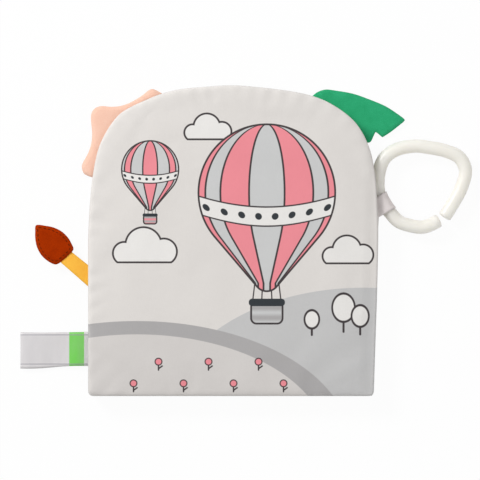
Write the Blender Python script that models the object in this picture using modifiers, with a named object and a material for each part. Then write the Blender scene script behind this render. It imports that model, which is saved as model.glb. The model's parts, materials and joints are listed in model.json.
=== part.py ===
"""A crinkle cloth book for a baby.

Four padded cloth leaves are sewn together along a spine. Felt pieces, a tasselled tail and a
satin label are sewn into their edges, and a plastic C-link hangs on a ribbon loop at the spine.

Metres, +Z up. The closed book lies on its back leaf with the cover facing up and the spine along
the right side. The origin is in the middle of the flat underside.
"""

import math

import bmesh
import bpy
from mathutils import Matrix, Vector

UP = Vector((0, 0, 1))

# Cover and leaves
COVER_WIDTH = 0.1746
COVER_HEIGHT = 0.1872
CORNER_RADIUS = 0.003
LEAF_NAMES = ("cover", "second_leaf", "third_leaf", "back_leaf")
LEAF_THICKNESS = 0.0036
FABRIC_THICKNESS = 0.0004
FILM_THICKNESS = 0.0002
CROWN_REACH = 0.03
GAP = 0.0003

# A flat piece on a leaf's edge bends a little way out from it, by this share of its thickness
BEND_SHARE = 0.75

# Spine
SPINE_WIDTH = 0.005
SPINE_TOP_DROP = 0.0408
SPINE_LEAN_DEG = 1.7
SPINE_STEP_BACK = 0.0003
SPINE_FLOOR_CLEARANCE = 0.0005
SPINE_COVER_STEP = 0.0011
SPINE_ROUNDING = 0.0018

# Felt star piece and felt sprig piece
STAR_REACH = 0.0134
SPRIG_REACH = 0.0266
FELT_THICKNESS = 0.0016

# Tasselled tail
TAIL_HEIGHT = 0.0726
TAIL_LENGTH = 0.0178
TAIL_WIDTH = 0.0096
TAIL_THICKNESS = 0.0009
TAIL_SLANT_DEG = 40.0
TUFT_LENGTH = 0.0258
TUFT_WIDTH = 0.0178
TUFT_THICKNESS = 0.0011
TUFT_OVERLAP = 0.0055
TUFT_SLANT_DEG = 47.5

# Satin label
LABEL_HEIGHT = 0.0282
LABEL_LENGTH = 0.0403
LABEL_WIDTH = 0.0212
LABEL_THICKNESS = 0.001
LABEL_PLY = 0.0003

# C-link and its ribbon loop
LINK_SPAN = 0.0523
LINK_HEIGHT = 0.0488
LINK_TUBE = 0.0082
LOOP_SLACK = 0.0009
LOOP_FLOOR_CLEARANCE = 0.0001
RIBBON_WIDTH = 0.0116
RIBBON_THICKNESS = 0.0004

# Faces for round shapes
DOME_STEPS = 2
CORNER_STEPS = 3
LINK_STEPS = 3
LINK_RESOLUTION = 4
LOOP_SIDES = 20
TUFT_STEPS = 2
FOLD_STEPS = 6
SPINE_STEPS = 3

# The domed edge, from the right shoulder over the top to the left side, in half cover widths
# from the middle and in cover heights from the bottom. It starts on the spine side and ends
# on the left side, both at the heights given here.
DOME_START_SHARE = 0.77
DOME_SHARES = (
    (0.897, 0.840),
    (0.842, 0.878),
    (0.759, 0.9135),
    (0.630, 0.950),
    (0.361, 0.981),
    (-0.050, 1.000),
    (-0.361, 0.987),
    (-0.595, 0.955),
    (-0.780, 0.909),
    (-0.893, 0.835),
    (-0.962, 0.728),
    (-0.992, 0.590),
)
DOME_END_SHARE = 0.45

# A padded leaf's crown: distance in from the edge, and height above the seam
CROWN_SHARES = ((0.0, 0.0), (0.0, 0.36), (0.03, 0.70), (0.30, 0.94), (1.0, 1.0))
PADDING_START_SHARE = 0.08
PADDING_RIM_SHARE = 0.30

# Outer edges of the felt pieces: place along the domed edge, and reach out from it
STAR_SHARES = (
    (0.551, 0.03),
    (0.567, 0.33),
    (0.578, 0.34),
    (0.596, 0.23),
    (0.622, 0.16),
    (0.645, 0.27),
    (0.662, 0.50),
    (0.674, 0.86),
    (0.684, 1.00),
    (0.694, 0.98),
    (0.706, 0.83),
    (0.725, 0.54),
    (0.746, 0.42),
    (0.768, 0.42),
    (0.789, 0.54),
    (0.800, 0.54),
    (0.812, 0.42),
    (0.818, 0.03),
)
SPRIG_SHARES = (
    (0.036, 0.02),
    (0.035, 0.12),
    (0.047, 0.25),
    (0.048, 0.30),
    (0.034, 0.39),
    (0.038, 0.63),
    (0.043, 0.86),
    (0.047, 1.00),
    (0.058, 0.92),
    (0.076, 0.77),
    (0.103, 0.60),
    (0.132, 0.47),
    (0.162, 0.32),
    (0.181, 0.26),
    (0.196, 0.15),
    (0.204, 0.02),
)

# One side of the tuft, from its base corner to its point: along it, and out from its middle
TUFT_SHARES = ((0.0, 0.74), (0.11, 0.90), (0.35, 1.0), (0.62, 0.82), (0.85, 0.43), (1.0, 0.0))

# The link's middle line, from the end of its right arm over the top and round to the end of
# its lower arm, in link spans and link heights. It passes through the loop at the named knot.
LINK_SHARES = (
    (0.762, 0.132),
    (0.881, 0.338),
    (0.958, 0.502),
    (1.000, 0.699),
    (0.927, 0.861),
    (0.763, 0.943),
    (0.579, 0.982),
    (0.413, 1.000),
    (0.212, 0.959),
    (0.063, 0.843),
    (0.000, 0.646),
    (0.000, 0.437),
    (0.057, 0.289),
    (0.138, 0.172),
    (0.250, 0.058),
    (0.461, 0.000),
    (0.579, 0.021),
    (0.688, 0.080),
)
LINK_LOOP_KNOT = 12

# The loop's middle from the spine's outer face and upper end, in outer radii of the loop
LOOP_OUT_SHARE = 0.65
LOOP_RISE_SHARE = 0.71

# Finishes: red, green and blue as seen, and roughness
WHITE_LEVEL = 255
SCREEN_GAMMA = 2.2
FINISHES = {
    "grey_polyester": ((225, 221, 217), 0.85),
    "pale_polyester": ((232, 230, 226), 0.85),
    "clear_film": ((236, 238, 240), 0.25),
    "white_wadding": ((244, 243, 240), 0.95),
    "peach_felt": ((245, 205, 184), 0.95),
    "green_felt": ((44, 164, 110), 0.95),
    "brown_felt": ((165, 48, 5), 0.95),
    "yellow_ribbon": ((253, 181, 52), 0.8),
    "white_satin": ((222, 220, 224), 0.4),
    "lilac_ribbon": ((214, 206, 204), 0.7),
    "milky_plastic": ((236, 234, 229), 0.3),
}


def smooth_line(knots, steps):
    """Returns points on a smooth open curve through the knots."""
    guides = [2 * knots[0] - knots[1], *knots, 2 * knots[-1] - knots[-2]]
    points = []
    for a, b, c, d in zip(guides, guides[1:], guides[2:], guides[3:]):
        for step in range(steps):
            t = step / steps
            first = (c - a) * (t / 2)
            second = (2 * a - 5 * b + 4 * c - d) * (t * t / 2)
            third = (3 * b - a - 3 * c + d) * (t * t * t / 2)
            points.append(b + first + second + third)
    return [*points, knots[-1]]


def arc(middle, radius, start_deg, end_deg, steps):
    """Returns points on an arc."""
    points = []
    for step in range(steps + 1):
        angle = math.radians(start_deg + (end_deg - start_deg) * step / steps)
        points.append(middle + radius * Vector((math.cos(angle), math.sin(angle))))
    return points


def blend(table, place):
    """Reads a table of (place, value) at a place between its rows."""
    for (start, low), (end, high) in zip(table, table[1:]):
        if start <= place <= end and end > start:
            return low + (high - low) * (place - start) / (end - start)
    return table[-1][1]


def spine_direction():
    """The spine leans to the right by a small angle."""
    lean = math.radians(SPINE_LEAN_DEG)
    return Vector((math.sin(lean), math.cos(lean), 0))


def spine_middle_x(y):
    """Where the middle of the spine is, at a height on the cover."""
    at_middle = COVER_WIDTH / 2 - SPINE_STEP_BACK - SPINE_WIDTH / 2
    return at_middle + math.tan(math.radians(SPINE_LEAN_DEG)) * y


def spine_top_y():
    """The upper end of the spine, which lies below the felt sprig so that the link has room."""
    sprig_end = place_on_dome(SPRIG_SHARES[0][0])[0]
    return sprig_end.y - SPINE_TOP_DROP


def leaf_edge_x(y):
    """The spine side of a leaf, which ends just short of the spine."""
    return spine_middle_x(y) - SPINE_WIDTH / 2 - GAP


def leaf_middle_z(index):
    """Height of a leaf's seam. The cover has index 0 and lies on top."""
    leaves_below = len(LEAF_NAMES) - 1 - index
    return LEAF_THICKNESS / 2 + leaves_below * (LEAF_THICKNESS + GAP)


def domed_edge():
    """The domed part of a leaf's edge, from the spine side over the top to the left side."""
    bottom = -COVER_HEIGHT / 2
    start_y = bottom + DOME_START_SHARE * COVER_HEIGHT
    knots = [Vector((leaf_edge_x(start_y), start_y))]
    for across, height in DOME_SHARES:
        knots.append(Vector((across * COVER_WIDTH / 2, bottom + height * COVER_HEIGHT)))
    knots.append(Vector((-COVER_WIDTH / 2, bottom + DOME_END_SHARE * COVER_HEIGHT)))
    return smooth_line(knots, DOME_STEPS)


def leaf_outline():
    """The outline that all leaves share, from above and anticlockwise."""
    radius = CORNER_RADIUS
    low = -COVER_HEIGHT / 2 + radius
    left = Vector((-COVER_WIDTH / 2 + radius, low))
    right = Vector((leaf_edge_x(low) - radius, low))
    return [
        *domed_edge(),
        *arc(left, radius, 180, 270, CORNER_STEPS),
        *arc(right, radius, 270, 360, CORNER_STEPS),
    ]


def dome_stations():
    """The domed edge's points, each with its share of the length and the direction out."""
    line = domed_edge()
    total = sum((b - a).length for a, b in zip(line, line[1:]))
    stations = []
    travelled = 0
    for before, point, after in zip([line[0], *line], line, [*line[1:], line[-1]]):
        travelled += (point - before).length
        along = after - before
        stations.append((travelled / total, point, Vector((along.y, -along.x)).normalized()))
    return stations


def place_on_dome(share):
    """A point on the domed edge at a share of its length, and the direction out from it."""
    stations = dome_stations()
    for (low, start, out), (high, end, next_out) in zip(stations, stations[1:]):
        if share <= high:
            t = (share - low) / (high - low)
            return start.lerp(end, t), out.lerp(next_out, t).normalized()
    return stations[-1][1:]


def crown_height(inset):
    """Height of a leaf's outer face above its seam, at a distance in from its edge."""
    rim = GAP / 2
    table = []
    for distance, height in CROWN_SHARES[1:]:
        table.append((distance * CROWN_REACH, rim + height * (LEAF_THICKNESS / 2 - rim)))
    return blend(table, inset)


def new_finish(name, finish_name):
    """A sub-part's own Principled material, with one of the finishes above."""
    seen, roughness = FINISHES[finish_name]
    material = bpy.data.materials.new(name)
    material.use_nodes = True
    shader = material.node_tree.nodes["Principled BSDF"]
    linear = [pow(channel / WHITE_LEVEL, SCREEN_GAMMA) for channel in seen]
    shader.inputs["Base Color"].default_value = (*linear, 1)
    shader.inputs["Roughness"].default_value = roughness
    shader.inputs["Metallic"].default_value = 0
    return material


def add_object(name, data, finish_name, collection, carrier=None):
    """Adds a sub-part, which stands still in the world and rides on its carrier."""
    obj = bpy.data.objects.new(name, data)
    collection.objects.link(obj)
    data.materials.append(new_finish(f"{name}_{finish_name}", finish_name))
    if carrier:
        obj.parent = carrier
        obj.matrix_parent_inverse = carrier.matrix_world.inverted()
    return obj


def add_hinge(name, place, axis, collection, carrier=None):
    """Adds an empty whose Y axis is a joint's axis."""
    empty = bpy.data.objects.new(name, None)
    empty.empty_display_size = LEAF_THICKNESS
    collection.objects.link(empty)
    if carrier:
        empty.parent = carrier
        empty.matrix_parent_inverse = carrier.matrix_world.inverted()
    turn = Vector((0, 1, 0)).rotation_difference(axis).to_matrix().to_4x4()
    empty.matrix_basis = Matrix.Translation(place) @ turn
    bpy.context.view_layer.update()
    return empty


def solidify(obj, thickness, offset):
    """Gives an open surface its wall."""
    modifier = obj.modifiers.new("wall", "SOLIDIFY")
    modifier.thickness = thickness
    modifier.offset = offset
    modifier.use_even_offset = True


def ringed_mesh(name, outline, rings, height, closed):
    """Draws an outline in through rings of (distance in, height) and fills the last one.

    A closed mesh has its first ring filled as well.
    """
    low = Vector((min(p.x for p in outline), min(p.y for p in outline)))
    high = Vector((max(p.x for p in outline), max(p.y for p in outline)))
    middle = (low + high) / 2
    half = (high - low) / 2
    to_middle = Matrix.Translation((-middle.x, -middle.y, 0))
    bm = bmesh.new()
    ring = bmesh.ops.create_circle(bm, cap_ends=closed, segments=len(outline), radius=half.x)
    for vert, point in zip(ring["verts"], outline):
        vert.co = (point.x, point.y, height)
    edges = bm.edges[:]
    inset, level = 0, 0
    for step, (next_inset, next_level) in enumerate(rings):
        if step:
            grown = bmesh.ops.extrude_edge_only(bm, edges=edges)["geom"]
            verts = [part for part in grown if isinstance(part, bmesh.types.BMVert)]
            edges = [part for part in grown if isinstance(part, bmesh.types.BMEdge)]
        else:
            verts = bm.verts[:]
        shrink_x = (half.x - next_inset) / (half.x - inset)
        shrink_y = (half.y - next_inset) / (half.y - inset)
        bmesh.ops.scale(bm, vec=(shrink_x, shrink_y, 1), space=to_middle, verts=verts)
        bmesh.ops.translate(bm, vec=(0, 0, next_level - level), verts=verts)
        inset, level = next_inset, next_level
    last = bmesh.ops.contextual_create(bm, geom=edges)["faces"][0]
    bmesh.ops.recalc_face_normals(bm, faces=bm.faces)
    faces_up = rings[-1][1] > rings[0][1]
    last.normal_update()
    if (last.normal.z > 0) != faces_up:
        bmesh.ops.reverse_faces(bm, faces=bm.faces)
    mesh = bpy.data.meshes.new(name)
    bm.to_mesh(mesh)
    bm.free()
    return mesh


def flat_curve(name, outline, thickness, height):
    """A flat outline as a filled curve with half its thickness on each side."""
    curve = bpy.data.curves.new(name, "CURVE")
    curve.dimensions = "2D"
    curve.fill_mode = "BOTH"
    curve.extrude = thickness / 2
    spline = curve.splines.new("POLY")
    spline.points.add(len(outline) - 1)
    for point, place in zip(spline.points, outline):
        point.co = (place.x, place.y, 0, 1)
    spline.use_cyclic_u = True
    return curve, Matrix.Translation((0, 0, height))


def add_flat_piece(name, outline, thickness, height, finish_name, collection, carrier):
    """Adds a flat piece of felt or ribbon at a height."""
    curve, place = flat_curve(name, outline, thickness, height)
    obj = add_object(name, curve, finish_name, collection, carrier)
    obj.matrix_basis = place
    return obj


def add_panel(name, outline, height, side, collection, carrier):
    """Adds the fabric of one side of a leaf: side is 1 for its front and -1 for its back."""
    rings = []
    for distance, rise in CROWN_SHARES:
        rim = GAP / 2
        level = rim + rise * (LEAF_THICKNESS / 2 - rim)
        rings.append((distance * CROWN_REACH, side * level))
    mesh = ringed_mesh(name, outline, rings, height, closed=False)
    finish_name = "grey_polyester" if side > 0 else "pale_polyester"
    solidify(add_object(name, mesh, finish_name, collection, carrier), FABRIC_THICKNESS, -1)


def padding_insets():
    """Distances in from the edge at which the film and the wadding change their slope."""
    insets = [distance * CROWN_REACH for distance, _ in CROWN_SHARES[3:]]
    return [PADDING_START_SHARE * CROWN_REACH, *insets]


def add_film(name, outline, height, collection, carrier):
    """Adds the crinkle film that lies under the front fabric."""
    below_face = FABRIC_THICKNESS + GAP + FILM_THICKNESS / 2
    rings = [(inset, crown_height(inset) - below_face) for inset in padding_insets()]
    mesh = ringed_mesh(name, outline, rings, height, closed=False)
    solidify(add_object(name, mesh, "clear_film", collection, carrier), FILM_THICKNESS, 0)


def add_wadding(name, outline, height, collection, carrier):
    """Adds the wadding, which fills the leaf between the film and the back fabric."""
    above = FABRIC_THICKNESS + GAP + FILM_THICKNESS + GAP
    below = FABRIC_THICKNESS + GAP
    insets = padding_insets()
    lower = [(inset, below - crown_height(inset)) for inset in reversed(insets)]
    upper = [(inset, crown_height(inset) - above) for inset in insets]
    rim = insets[0]
    tuck = PADDING_RIM_SHARE * (upper[0][1] - lower[-1][1])
    lower[-1] = (rim, lower[-1][1] + tuck)
    upper[0] = (rim, upper[0][1] - tuck)
    mesh = ringed_mesh(name, outline, lower + upper, height, closed=True)
    add_object(name, mesh, "white_wadding", collection, carrier)


def add_leaf(index, outline, collection, carrier):
    """Adds one padded leaf: front fabric, crinkle film, wadding and back fabric."""
    name = LEAF_NAMES[index]
    height = leaf_middle_z(index)
    add_panel(f"{name}_front_fabric", outline, height, 1, collection, carrier)
    add_film(f"{name}_crinkle_film", outline, height, collection, carrier)
    add_wadding(f"{name}_wadding", outline, height, collection, carrier)
    add_panel(f"{name}_back_fabric", outline, height, -1, collection, carrier)


def add_spine(collection):
    """Adds the bound spine, which the leaves turn around."""
    top = leaf_middle_z(0) + LEAF_THICKNESS / 2 - SPINE_COVER_STEP
    height = top - SPINE_FLOOR_CLEARANCE
    low_y = -COVER_HEIGHT / 2 + SPINE_STEP_BACK
    middle_y = (low_y + spine_top_y()) / 2
    bm = bmesh.new()
    bmesh.ops.create_cube(bm, size=1)
    bmesh.ops.scale(bm, vec=(SPINE_WIDTH, spine_top_y() - low_y, height), verts=bm.verts)
    lean = Matrix.Rotation(-math.radians(SPINE_LEAN_DEG), 4, "Z")
    middle_z = SPINE_FLOOR_CLEARANCE + height / 2
    place = Matrix.Translation((spine_middle_x(middle_y), middle_y, middle_z))
    bmesh.ops.transform(bm, matrix=place @ lean, verts=bm.verts)
    mesh = bpy.data.meshes.new("spine_binding")
    bm.to_mesh(mesh)
    bm.free()
    obj = add_object("spine_binding", mesh, "grey_polyester", collection)
    bevel = obj.modifiers.new("rounding", "BEVEL")
    bevel.width = SPINE_ROUNDING
    bevel.segments = SPINE_STEPS


def felt_outline(shares, reach):
    """A felt piece's outline: its outer edge, then back along the leaf's edge."""
    outline = []
    for along, out_share in shares:
        point, out = place_on_dome(along)
        outline.append(point + out * (GAP + out_share * reach))
    ends = sorted((shares[0][0], shares[-1][0]))
    inner = []
    for share, point, out in dome_stations():
        if ends[0] < share < ends[1]:
            inner.append(point + out * GAP)
    if shares[0][0] < shares[-1][0]:
        inner.reverse()
    outline.extend(inner)
    return outline


def felt_hinge(shares, height):
    """Where a felt piece bends: a line along the leaf's edge, clear of it."""
    point, out = place_on_dome((shares[0][0] + shares[-1][0]) / 2)
    reach = GAP + BEND_SHARE * FELT_THICKNESS
    return (point + out * reach).to_3d() + height * UP, out.to_3d().cross(UP)


def add_felt_piece(name, shares, reach, leaf, finish_name, collection, carrier):
    """Adds a felt piece that is sewn into the domed edge of a leaf."""
    height = leaf_middle_z(leaf)
    place, axis = felt_hinge(shares, height)
    hinge = add_hinge(f"{name}_bend", place, axis, collection, carrier)
    outline = felt_outline(shares, reach)
    add_flat_piece(name, outline, FELT_THICKNESS, height, finish_name, collection, hinge)


def left_edge_point(height_on_cover):
    """A point just clear of the left side, at a height from the cover's bottom."""
    return Vector((-COVER_WIDTH / 2 - GAP, height_on_cover - COVER_HEIGHT / 2))


def left_edge_bend(height_on_cover, thickness, height):
    """Where a piece on the left side bends, from its thickness and its height above the table."""
    root = left_edge_point(height_on_cover)
    return Vector((root.x - BEND_SHARE * thickness, root.y, height))


def slant(angle_deg):
    """The direction up and to the left at an angle from the horizontal."""
    angle = math.radians(angle_deg)
    return Vector((-math.cos(angle), math.sin(angle)))


def strip_outline():
    """The tail's strip, cut along the leaf's edge and square under the tuft."""
    root = left_edge_point(TAIL_HEIGHT)
    along = slant(TAIL_SLANT_DEG)
    across = Vector((along.y, -along.x)) * TAIL_WIDTH / 2
    rise = Vector((0, TAIL_WIDTH / 2 / math.cos(math.radians(TAIL_SLANT_DEG))))
    end = root + along * (TAIL_LENGTH + TUFT_OVERLAP)
    return [root + rise, end + across, end - across, root - rise]


def tuft_outline():
    """The pointed felt tuft at the end of the tail's strip."""
    base = left_edge_point(TAIL_HEIGHT) + slant(TAIL_SLANT_DEG) * TAIL_LENGTH
    along = slant(TUFT_SLANT_DEG)
    across = Vector((along.y, -along.x))
    knots = [Vector((s * TUFT_LENGTH, t * TUFT_WIDTH / 2)) for s, t in TUFT_SHARES]
    side = smooth_line(knots, TUFT_STEPS)
    other = [Vector((point.x, -point.y)) for point in reversed(side[:-1])]
    return [base + along * point.x + across * point.y for point in side + other]


def add_tail(leaf, collection, carrier):
    """Adds the tasselled tail: its strip, and the tuft's two plies of felt around its end."""
    height = leaf_middle_z(leaf)
    bend = left_edge_bend(TAIL_HEIGHT, TAIL_THICKNESS, height)
    hinge = add_hinge("tail_bend", bend, Vector((0, 1, 0)), collection, carrier)
    add_flat_piece(
        "tail_strip", strip_outline(), TAIL_THICKNESS, height, "yellow_ribbon", collection, hinge
    )
    offset = TAIL_THICKNESS / 2 + GAP + TUFT_THICKNESS / 2
    for name, side in (("tail_tuft_front", 1), ("tail_tuft_back", -1)):
        level = height + side * offset
        add_flat_piece(
            name, tuft_outline(), TUFT_THICKNESS, level, "brown_felt", collection, hinge
        )


def add_label(leaf, collection):
    """Adds the folded satin label, one strip of satin doubled back at its outer end."""
    height = leaf_middle_z(leaf)
    root = left_edge_point(LABEL_HEIGHT)
    bend = left_edge_bend(LABEL_HEIGHT, LABEL_THICKNESS, height)
    hinge = add_hinge("label_bend", bend, Vector((0, 1, 0)), collection)
    radius = (LABEL_THICKNESS - LABEL_PLY) / 2
    fold = arc(Vector((-LABEL_LENGTH + radius, 0)), radius, 90, 270, FOLD_STEPS)
    profile = [Vector((0, radius)), *fold, Vector((0, -radius))]
    bm = bmesh.new()
    bmesh.ops.create_grid(bm, x_segments=1, y_segments=len(profile) - 1, size=LABEL_WIDTH / 2)
    rows = sorted(bm.verts, key=lambda vert: (round(vert.co.y, 7), vert.co.x))
    for i, vert in enumerate(rows):
        place = profile[i // 2]
        vert.co = (root.x + place.x, root.y + vert.co.x, height + place.y)
    mesh = bpy.data.meshes.new("satin_label")
    bm.to_mesh(mesh)
    bm.free()
    obj = add_object("satin_label", mesh, "white_satin", collection, hinge)
    solidify(obj, LABEL_PLY, 0)


def loop_radius():
    """Outer radius of the ribbon loop around the link."""
    return LINK_TUBE / 2 + LOOP_SLACK + RIBBON_THICKNESS


def loop_middle():
    """The middle of the ribbon loop, which the link's tube runs through."""
    y = spine_top_y() + LOOP_RISE_SHARE * loop_radius()
    x = spine_middle_x(y) + SPINE_WIDTH / 2 + LOOP_OUT_SHARE * loop_radius()
    return Vector((x, y, LOOP_FLOOR_CLEARANCE + loop_radius()))


def link_line():
    """The link's middle line, level at the middle of the loop."""
    knots = [Vector((u * LINK_SPAN, v * LINK_HEIGHT, 0)) for u, v in LINK_SHARES]
    to_loop = loop_middle() - knots[LINK_LOOP_KNOT]
    return smooth_line([knot + to_loop for knot in knots], LINK_STEPS)


def link_direction():
    """The direction of the link's tube in the loop."""
    line = link_line()
    at_loop = LINK_LOOP_KNOT * LINK_STEPS
    return (line[at_loop + 1] - line[at_loop - 1]).normalized()


def loop_root():
    """Where the loop's ribbon leaves the spine: its place, level with the ribbon's top."""
    middle = loop_middle()
    x = spine_middle_x(middle.y) + SPINE_WIDTH / 2 + GAP
    return Vector((x, middle.y, middle.z + loop_radius()))


def loop_tab_outline():
    """The flat part of the loop's ribbon, from the spine to the top of the loop."""
    middle = loop_middle().to_2d()
    along = link_direction().to_2d()
    inward = Vector((along.y, -along.x))
    if inward.x > 0:
        inward = -inward
    corners = []
    for side in (-1, 1):
        on_loop = middle + along * (side * RIBBON_WIDTH / 2)
        face = spine_middle_x(on_loop.y) + SPINE_WIDTH / 2 + GAP
        reach = max((on_loop.x - face) / -inward.x, RIBBON_THICKNESS)
        corners.append((on_loop, on_loop + inward * reach))
    (upper, upper_root), (lower, lower_root) = corners
    return [upper, upper_root, lower_root, lower]


def curve_to_mesh(obj):
    """Turns a curve object into a closed mesh object of the same name."""
    evaluated = obj.evaluated_get(bpy.context.evaluated_depsgraph_get())
    mesh = bpy.data.meshes.new_from_object(evaluated)
    bm = bmesh.new()
    bm.from_mesh(mesh)
    bmesh.ops.remove_doubles(bm, verts=bm.verts, dist=GAP / 10)
    bm.to_mesh(mesh)
    bm.free()
    mesh.transform(obj.matrix_world)
    name = obj.name
    bpy.data.objects.remove(obj)
    return name, mesh


def add_loop(collection, cutters):
    """Adds the ribbon loop: a band round the link's tube, and a tab that is sewn to the spine."""
    hinge = add_hinge("loop_bend", loop_root(), spine_direction(), collection)
    radius = loop_radius() - RIBBON_THICKNESS / 2
    middle = loop_middle()
    bm = bmesh.new()
    bmesh.ops.create_cone(
        bm, cap_ends=False, segments=LOOP_SIDES, radius1=radius, radius2=radius, depth=RIBBON_WIDTH
    )
    turn = UP.rotation_difference(link_direction()).to_matrix().to_4x4()
    bmesh.ops.transform(bm, matrix=Matrix.Translation(middle) @ turn, verts=bm.verts)
    mesh = bpy.data.meshes.new("ribbon_loop")
    bm.to_mesh(mesh)
    bm.free()
    band = add_object("ribbon_loop", mesh, "lilac_ribbon", collection, hinge)
    solidify(band, RIBBON_THICKNESS, 0)
    level = middle.z + loop_radius() - RIBBON_THICKNESS
    curve, place = flat_curve("loop_tab", loop_tab_outline(), 2 * RIBBON_THICKNESS, level)
    flat_tab = bpy.data.objects.new("loop_tab", curve)
    cutters.objects.link(flat_tab)
    flat_tab.matrix_world = place
    bpy.context.view_layer.update()
    name, tab_mesh = curve_to_mesh(flat_tab)
    tab = bpy.data.objects.new(name, tab_mesh)
    cutters.objects.link(tab)
    tab.hide_render = True
    tab.display_type = "WIRE"
    union = band.modifiers.new("tab", "BOOLEAN")
    union.operation = "UNION"
    union.object = tab
    return hinge


def add_link(collection, carrier):
    """Adds the plastic C-link, an open ring of round tube with flat ends."""
    axis = -link_direction()
    hinge = add_hinge("link_turn", loop_middle(), axis, collection, carrier)
    curve = bpy.data.curves.new("c_link", "CURVE")
    curve.dimensions = "3D"
    curve.bevel_depth = LINK_TUBE / 2
    curve.bevel_resolution = LINK_RESOLUTION
    curve.use_fill_caps = True
    line = link_line()
    spline = curve.splines.new("POLY")
    spline.points.add(len(line) - 1)
    for point, place in zip(spline.points, line):
        point.co = (*place, 1)
    add_object("c_link", curve, "milky_plastic", collection, hinge)


def new_collection(name):
    """Adds a collection to the scene."""
    collection = bpy.data.collections.new(name)
    bpy.context.scene.collection.children.link(collection)
    return collection


def main():
    """Models the book, leaf by leaf, and the pieces on its edges."""
    for obj in list(bpy.data.objects):
        bpy.data.objects.remove(obj)
    book = new_collection("crinkle_cloth_book")
    cutters = new_collection("cutters")
    outline = leaf_outline()
    axis_place = Vector((spine_middle_x(0), 0, leaf_middle_z(0)))
    carriers = [None]
    for name in reversed(LEAF_NAMES[:-1]):
        carrier = add_hinge(f"{name}_turn", axis_place, spine_direction(), book, carriers[0])
        carriers.insert(0, carrier)
    for index, carrier in enumerate(carriers):
        add_leaf(index, outline, book, carrier)
    add_spine(book)
    add_felt_piece("felt_star", STAR_SHARES, STAR_REACH, 1, "peach_felt", book, carriers[1])
    add_tail(2, book, carriers[2])
    add_felt_piece("felt_sprig", SPRIG_SHARES, SPRIG_REACH, 3, "green_felt", book, carriers[3])
    add_label(3, book)
    loop = add_loop(book, cutters)
    add_link(book, loop)


main()
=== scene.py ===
"""The looks of a crinkle cloth book for a baby.

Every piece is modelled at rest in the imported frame: metres, +Z up, the book lying closed on its
back leaf. Each mesh keeps its rest places in millimetres in an attribute, which the prints, weaves
and felts are drawn from, so that they stay on the cloth when it bends.
"""

import json
import logging
import math
from collections import Counter
from collections.abc import Callable, Sequence
from dataclasses import dataclass, field
from enum import Enum, IntEnum
from functools import partial, reduce

import bmesh
import bpy
import numpy as np
from mathutils import Matrix, Vector, geometry, noise


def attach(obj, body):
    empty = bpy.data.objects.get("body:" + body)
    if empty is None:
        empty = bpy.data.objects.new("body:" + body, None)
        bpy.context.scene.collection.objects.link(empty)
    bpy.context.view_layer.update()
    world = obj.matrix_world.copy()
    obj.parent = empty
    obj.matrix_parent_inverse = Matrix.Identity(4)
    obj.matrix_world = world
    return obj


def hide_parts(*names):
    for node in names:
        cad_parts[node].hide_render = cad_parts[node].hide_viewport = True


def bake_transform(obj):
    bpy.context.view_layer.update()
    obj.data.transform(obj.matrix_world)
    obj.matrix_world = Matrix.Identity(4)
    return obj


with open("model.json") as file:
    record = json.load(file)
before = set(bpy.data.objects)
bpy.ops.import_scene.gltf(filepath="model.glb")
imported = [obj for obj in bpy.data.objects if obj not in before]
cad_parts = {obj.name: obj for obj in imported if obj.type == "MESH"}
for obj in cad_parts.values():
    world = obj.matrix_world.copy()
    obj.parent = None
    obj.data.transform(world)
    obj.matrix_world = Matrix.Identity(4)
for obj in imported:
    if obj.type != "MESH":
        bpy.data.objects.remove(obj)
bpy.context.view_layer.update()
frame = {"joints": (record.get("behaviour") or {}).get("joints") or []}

log = logging.getLogger("cloth_book")

# All lengths are in metres, apart from the print's, which are in millimetres
MM = 0.001
# Mesh attributes: where a vertex is at rest, and how far in from the leaf's edge
PLACE = "place"
RIM = "rim"
# What keeps the two cloths of a seam apart, and the book off the table
SEAM_GAP = 0.1 * MM
TABLE_GAP = 0.02 * MM
# The most that a leaf rises over its seam, so that closed leaves don't meet
HALF_LEAF = 1.83 * MM
# The size of a pixel in the photograph, and the pixel over the frame's middle
PHOTO_SCALE = 0.6 * MM
PHOTO_MIDDLE = (233.5, 241.0)
# The curve from screen colours to linear ones
SCREEN_KNEE = 0.04045
SCREEN_SLOPE = 12.92
SCREEN_OFFSET = 0.055
SCREEN_POWER = 2.4
# A number that counts as nothing
TINY = 1e-18

Colour = tuple[float, float, float, float]
Link = bpy.types.NodeSocket
Zone = tuple[tuple[float, ...], tuple[float, ...]]


def seen(red: float, green: float, blue: float) -> Colour:
    """A colour as it looks on a screen, from 0 to 255, as a linear colour.

    Args:
        red: The red part.
        green: The green part.
        blue: The blue part.

    Returns:
        The linear colour with full alpha.
    """
    linear = []
    for part in (red, green, blue):
        share = part / 255
        curved = ((share + SCREEN_OFFSET) / (1 + SCREEN_OFFSET)) ** SCREEN_POWER
        linear.append(share / SCREEN_SLOPE if share <= SCREEN_KNEE else curved)
    return (*linear, 1.0)


def from_photo(points: Sequence[tuple[float, float]]) -> np.ndarray:
    """Turns picture coordinates into places on the table, in metres.

    Args:
        points: Pixels across and down, one point a row.

    Returns:
        Places across and up.
    """
    picture = np.array(points, float)
    across = (picture[:, 0] - PHOTO_MIDDLE[0]) * PHOTO_SCALE
    up = (PHOTO_MIDDLE[1] - picture[:, 1]) * PHOTO_SCALE
    return np.stack([across, up], axis=1)


def joined(operation: str, is_turned: bool = False) -> "Callable[[Value, Number], Value]":
    """An operator on two values, which adds a Math node.

    Args:
        operation: What the node does.
        is_turned: Whether the second value comes first.

    Returns:
        The operator.
    """

    def join(first: "Value", second: "Number") -> "Value":
        """Joins two values."""
        pair = (second, first) if is_turned else (first, second)
        return first.graph.math(operation, *pair)

    return join


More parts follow.
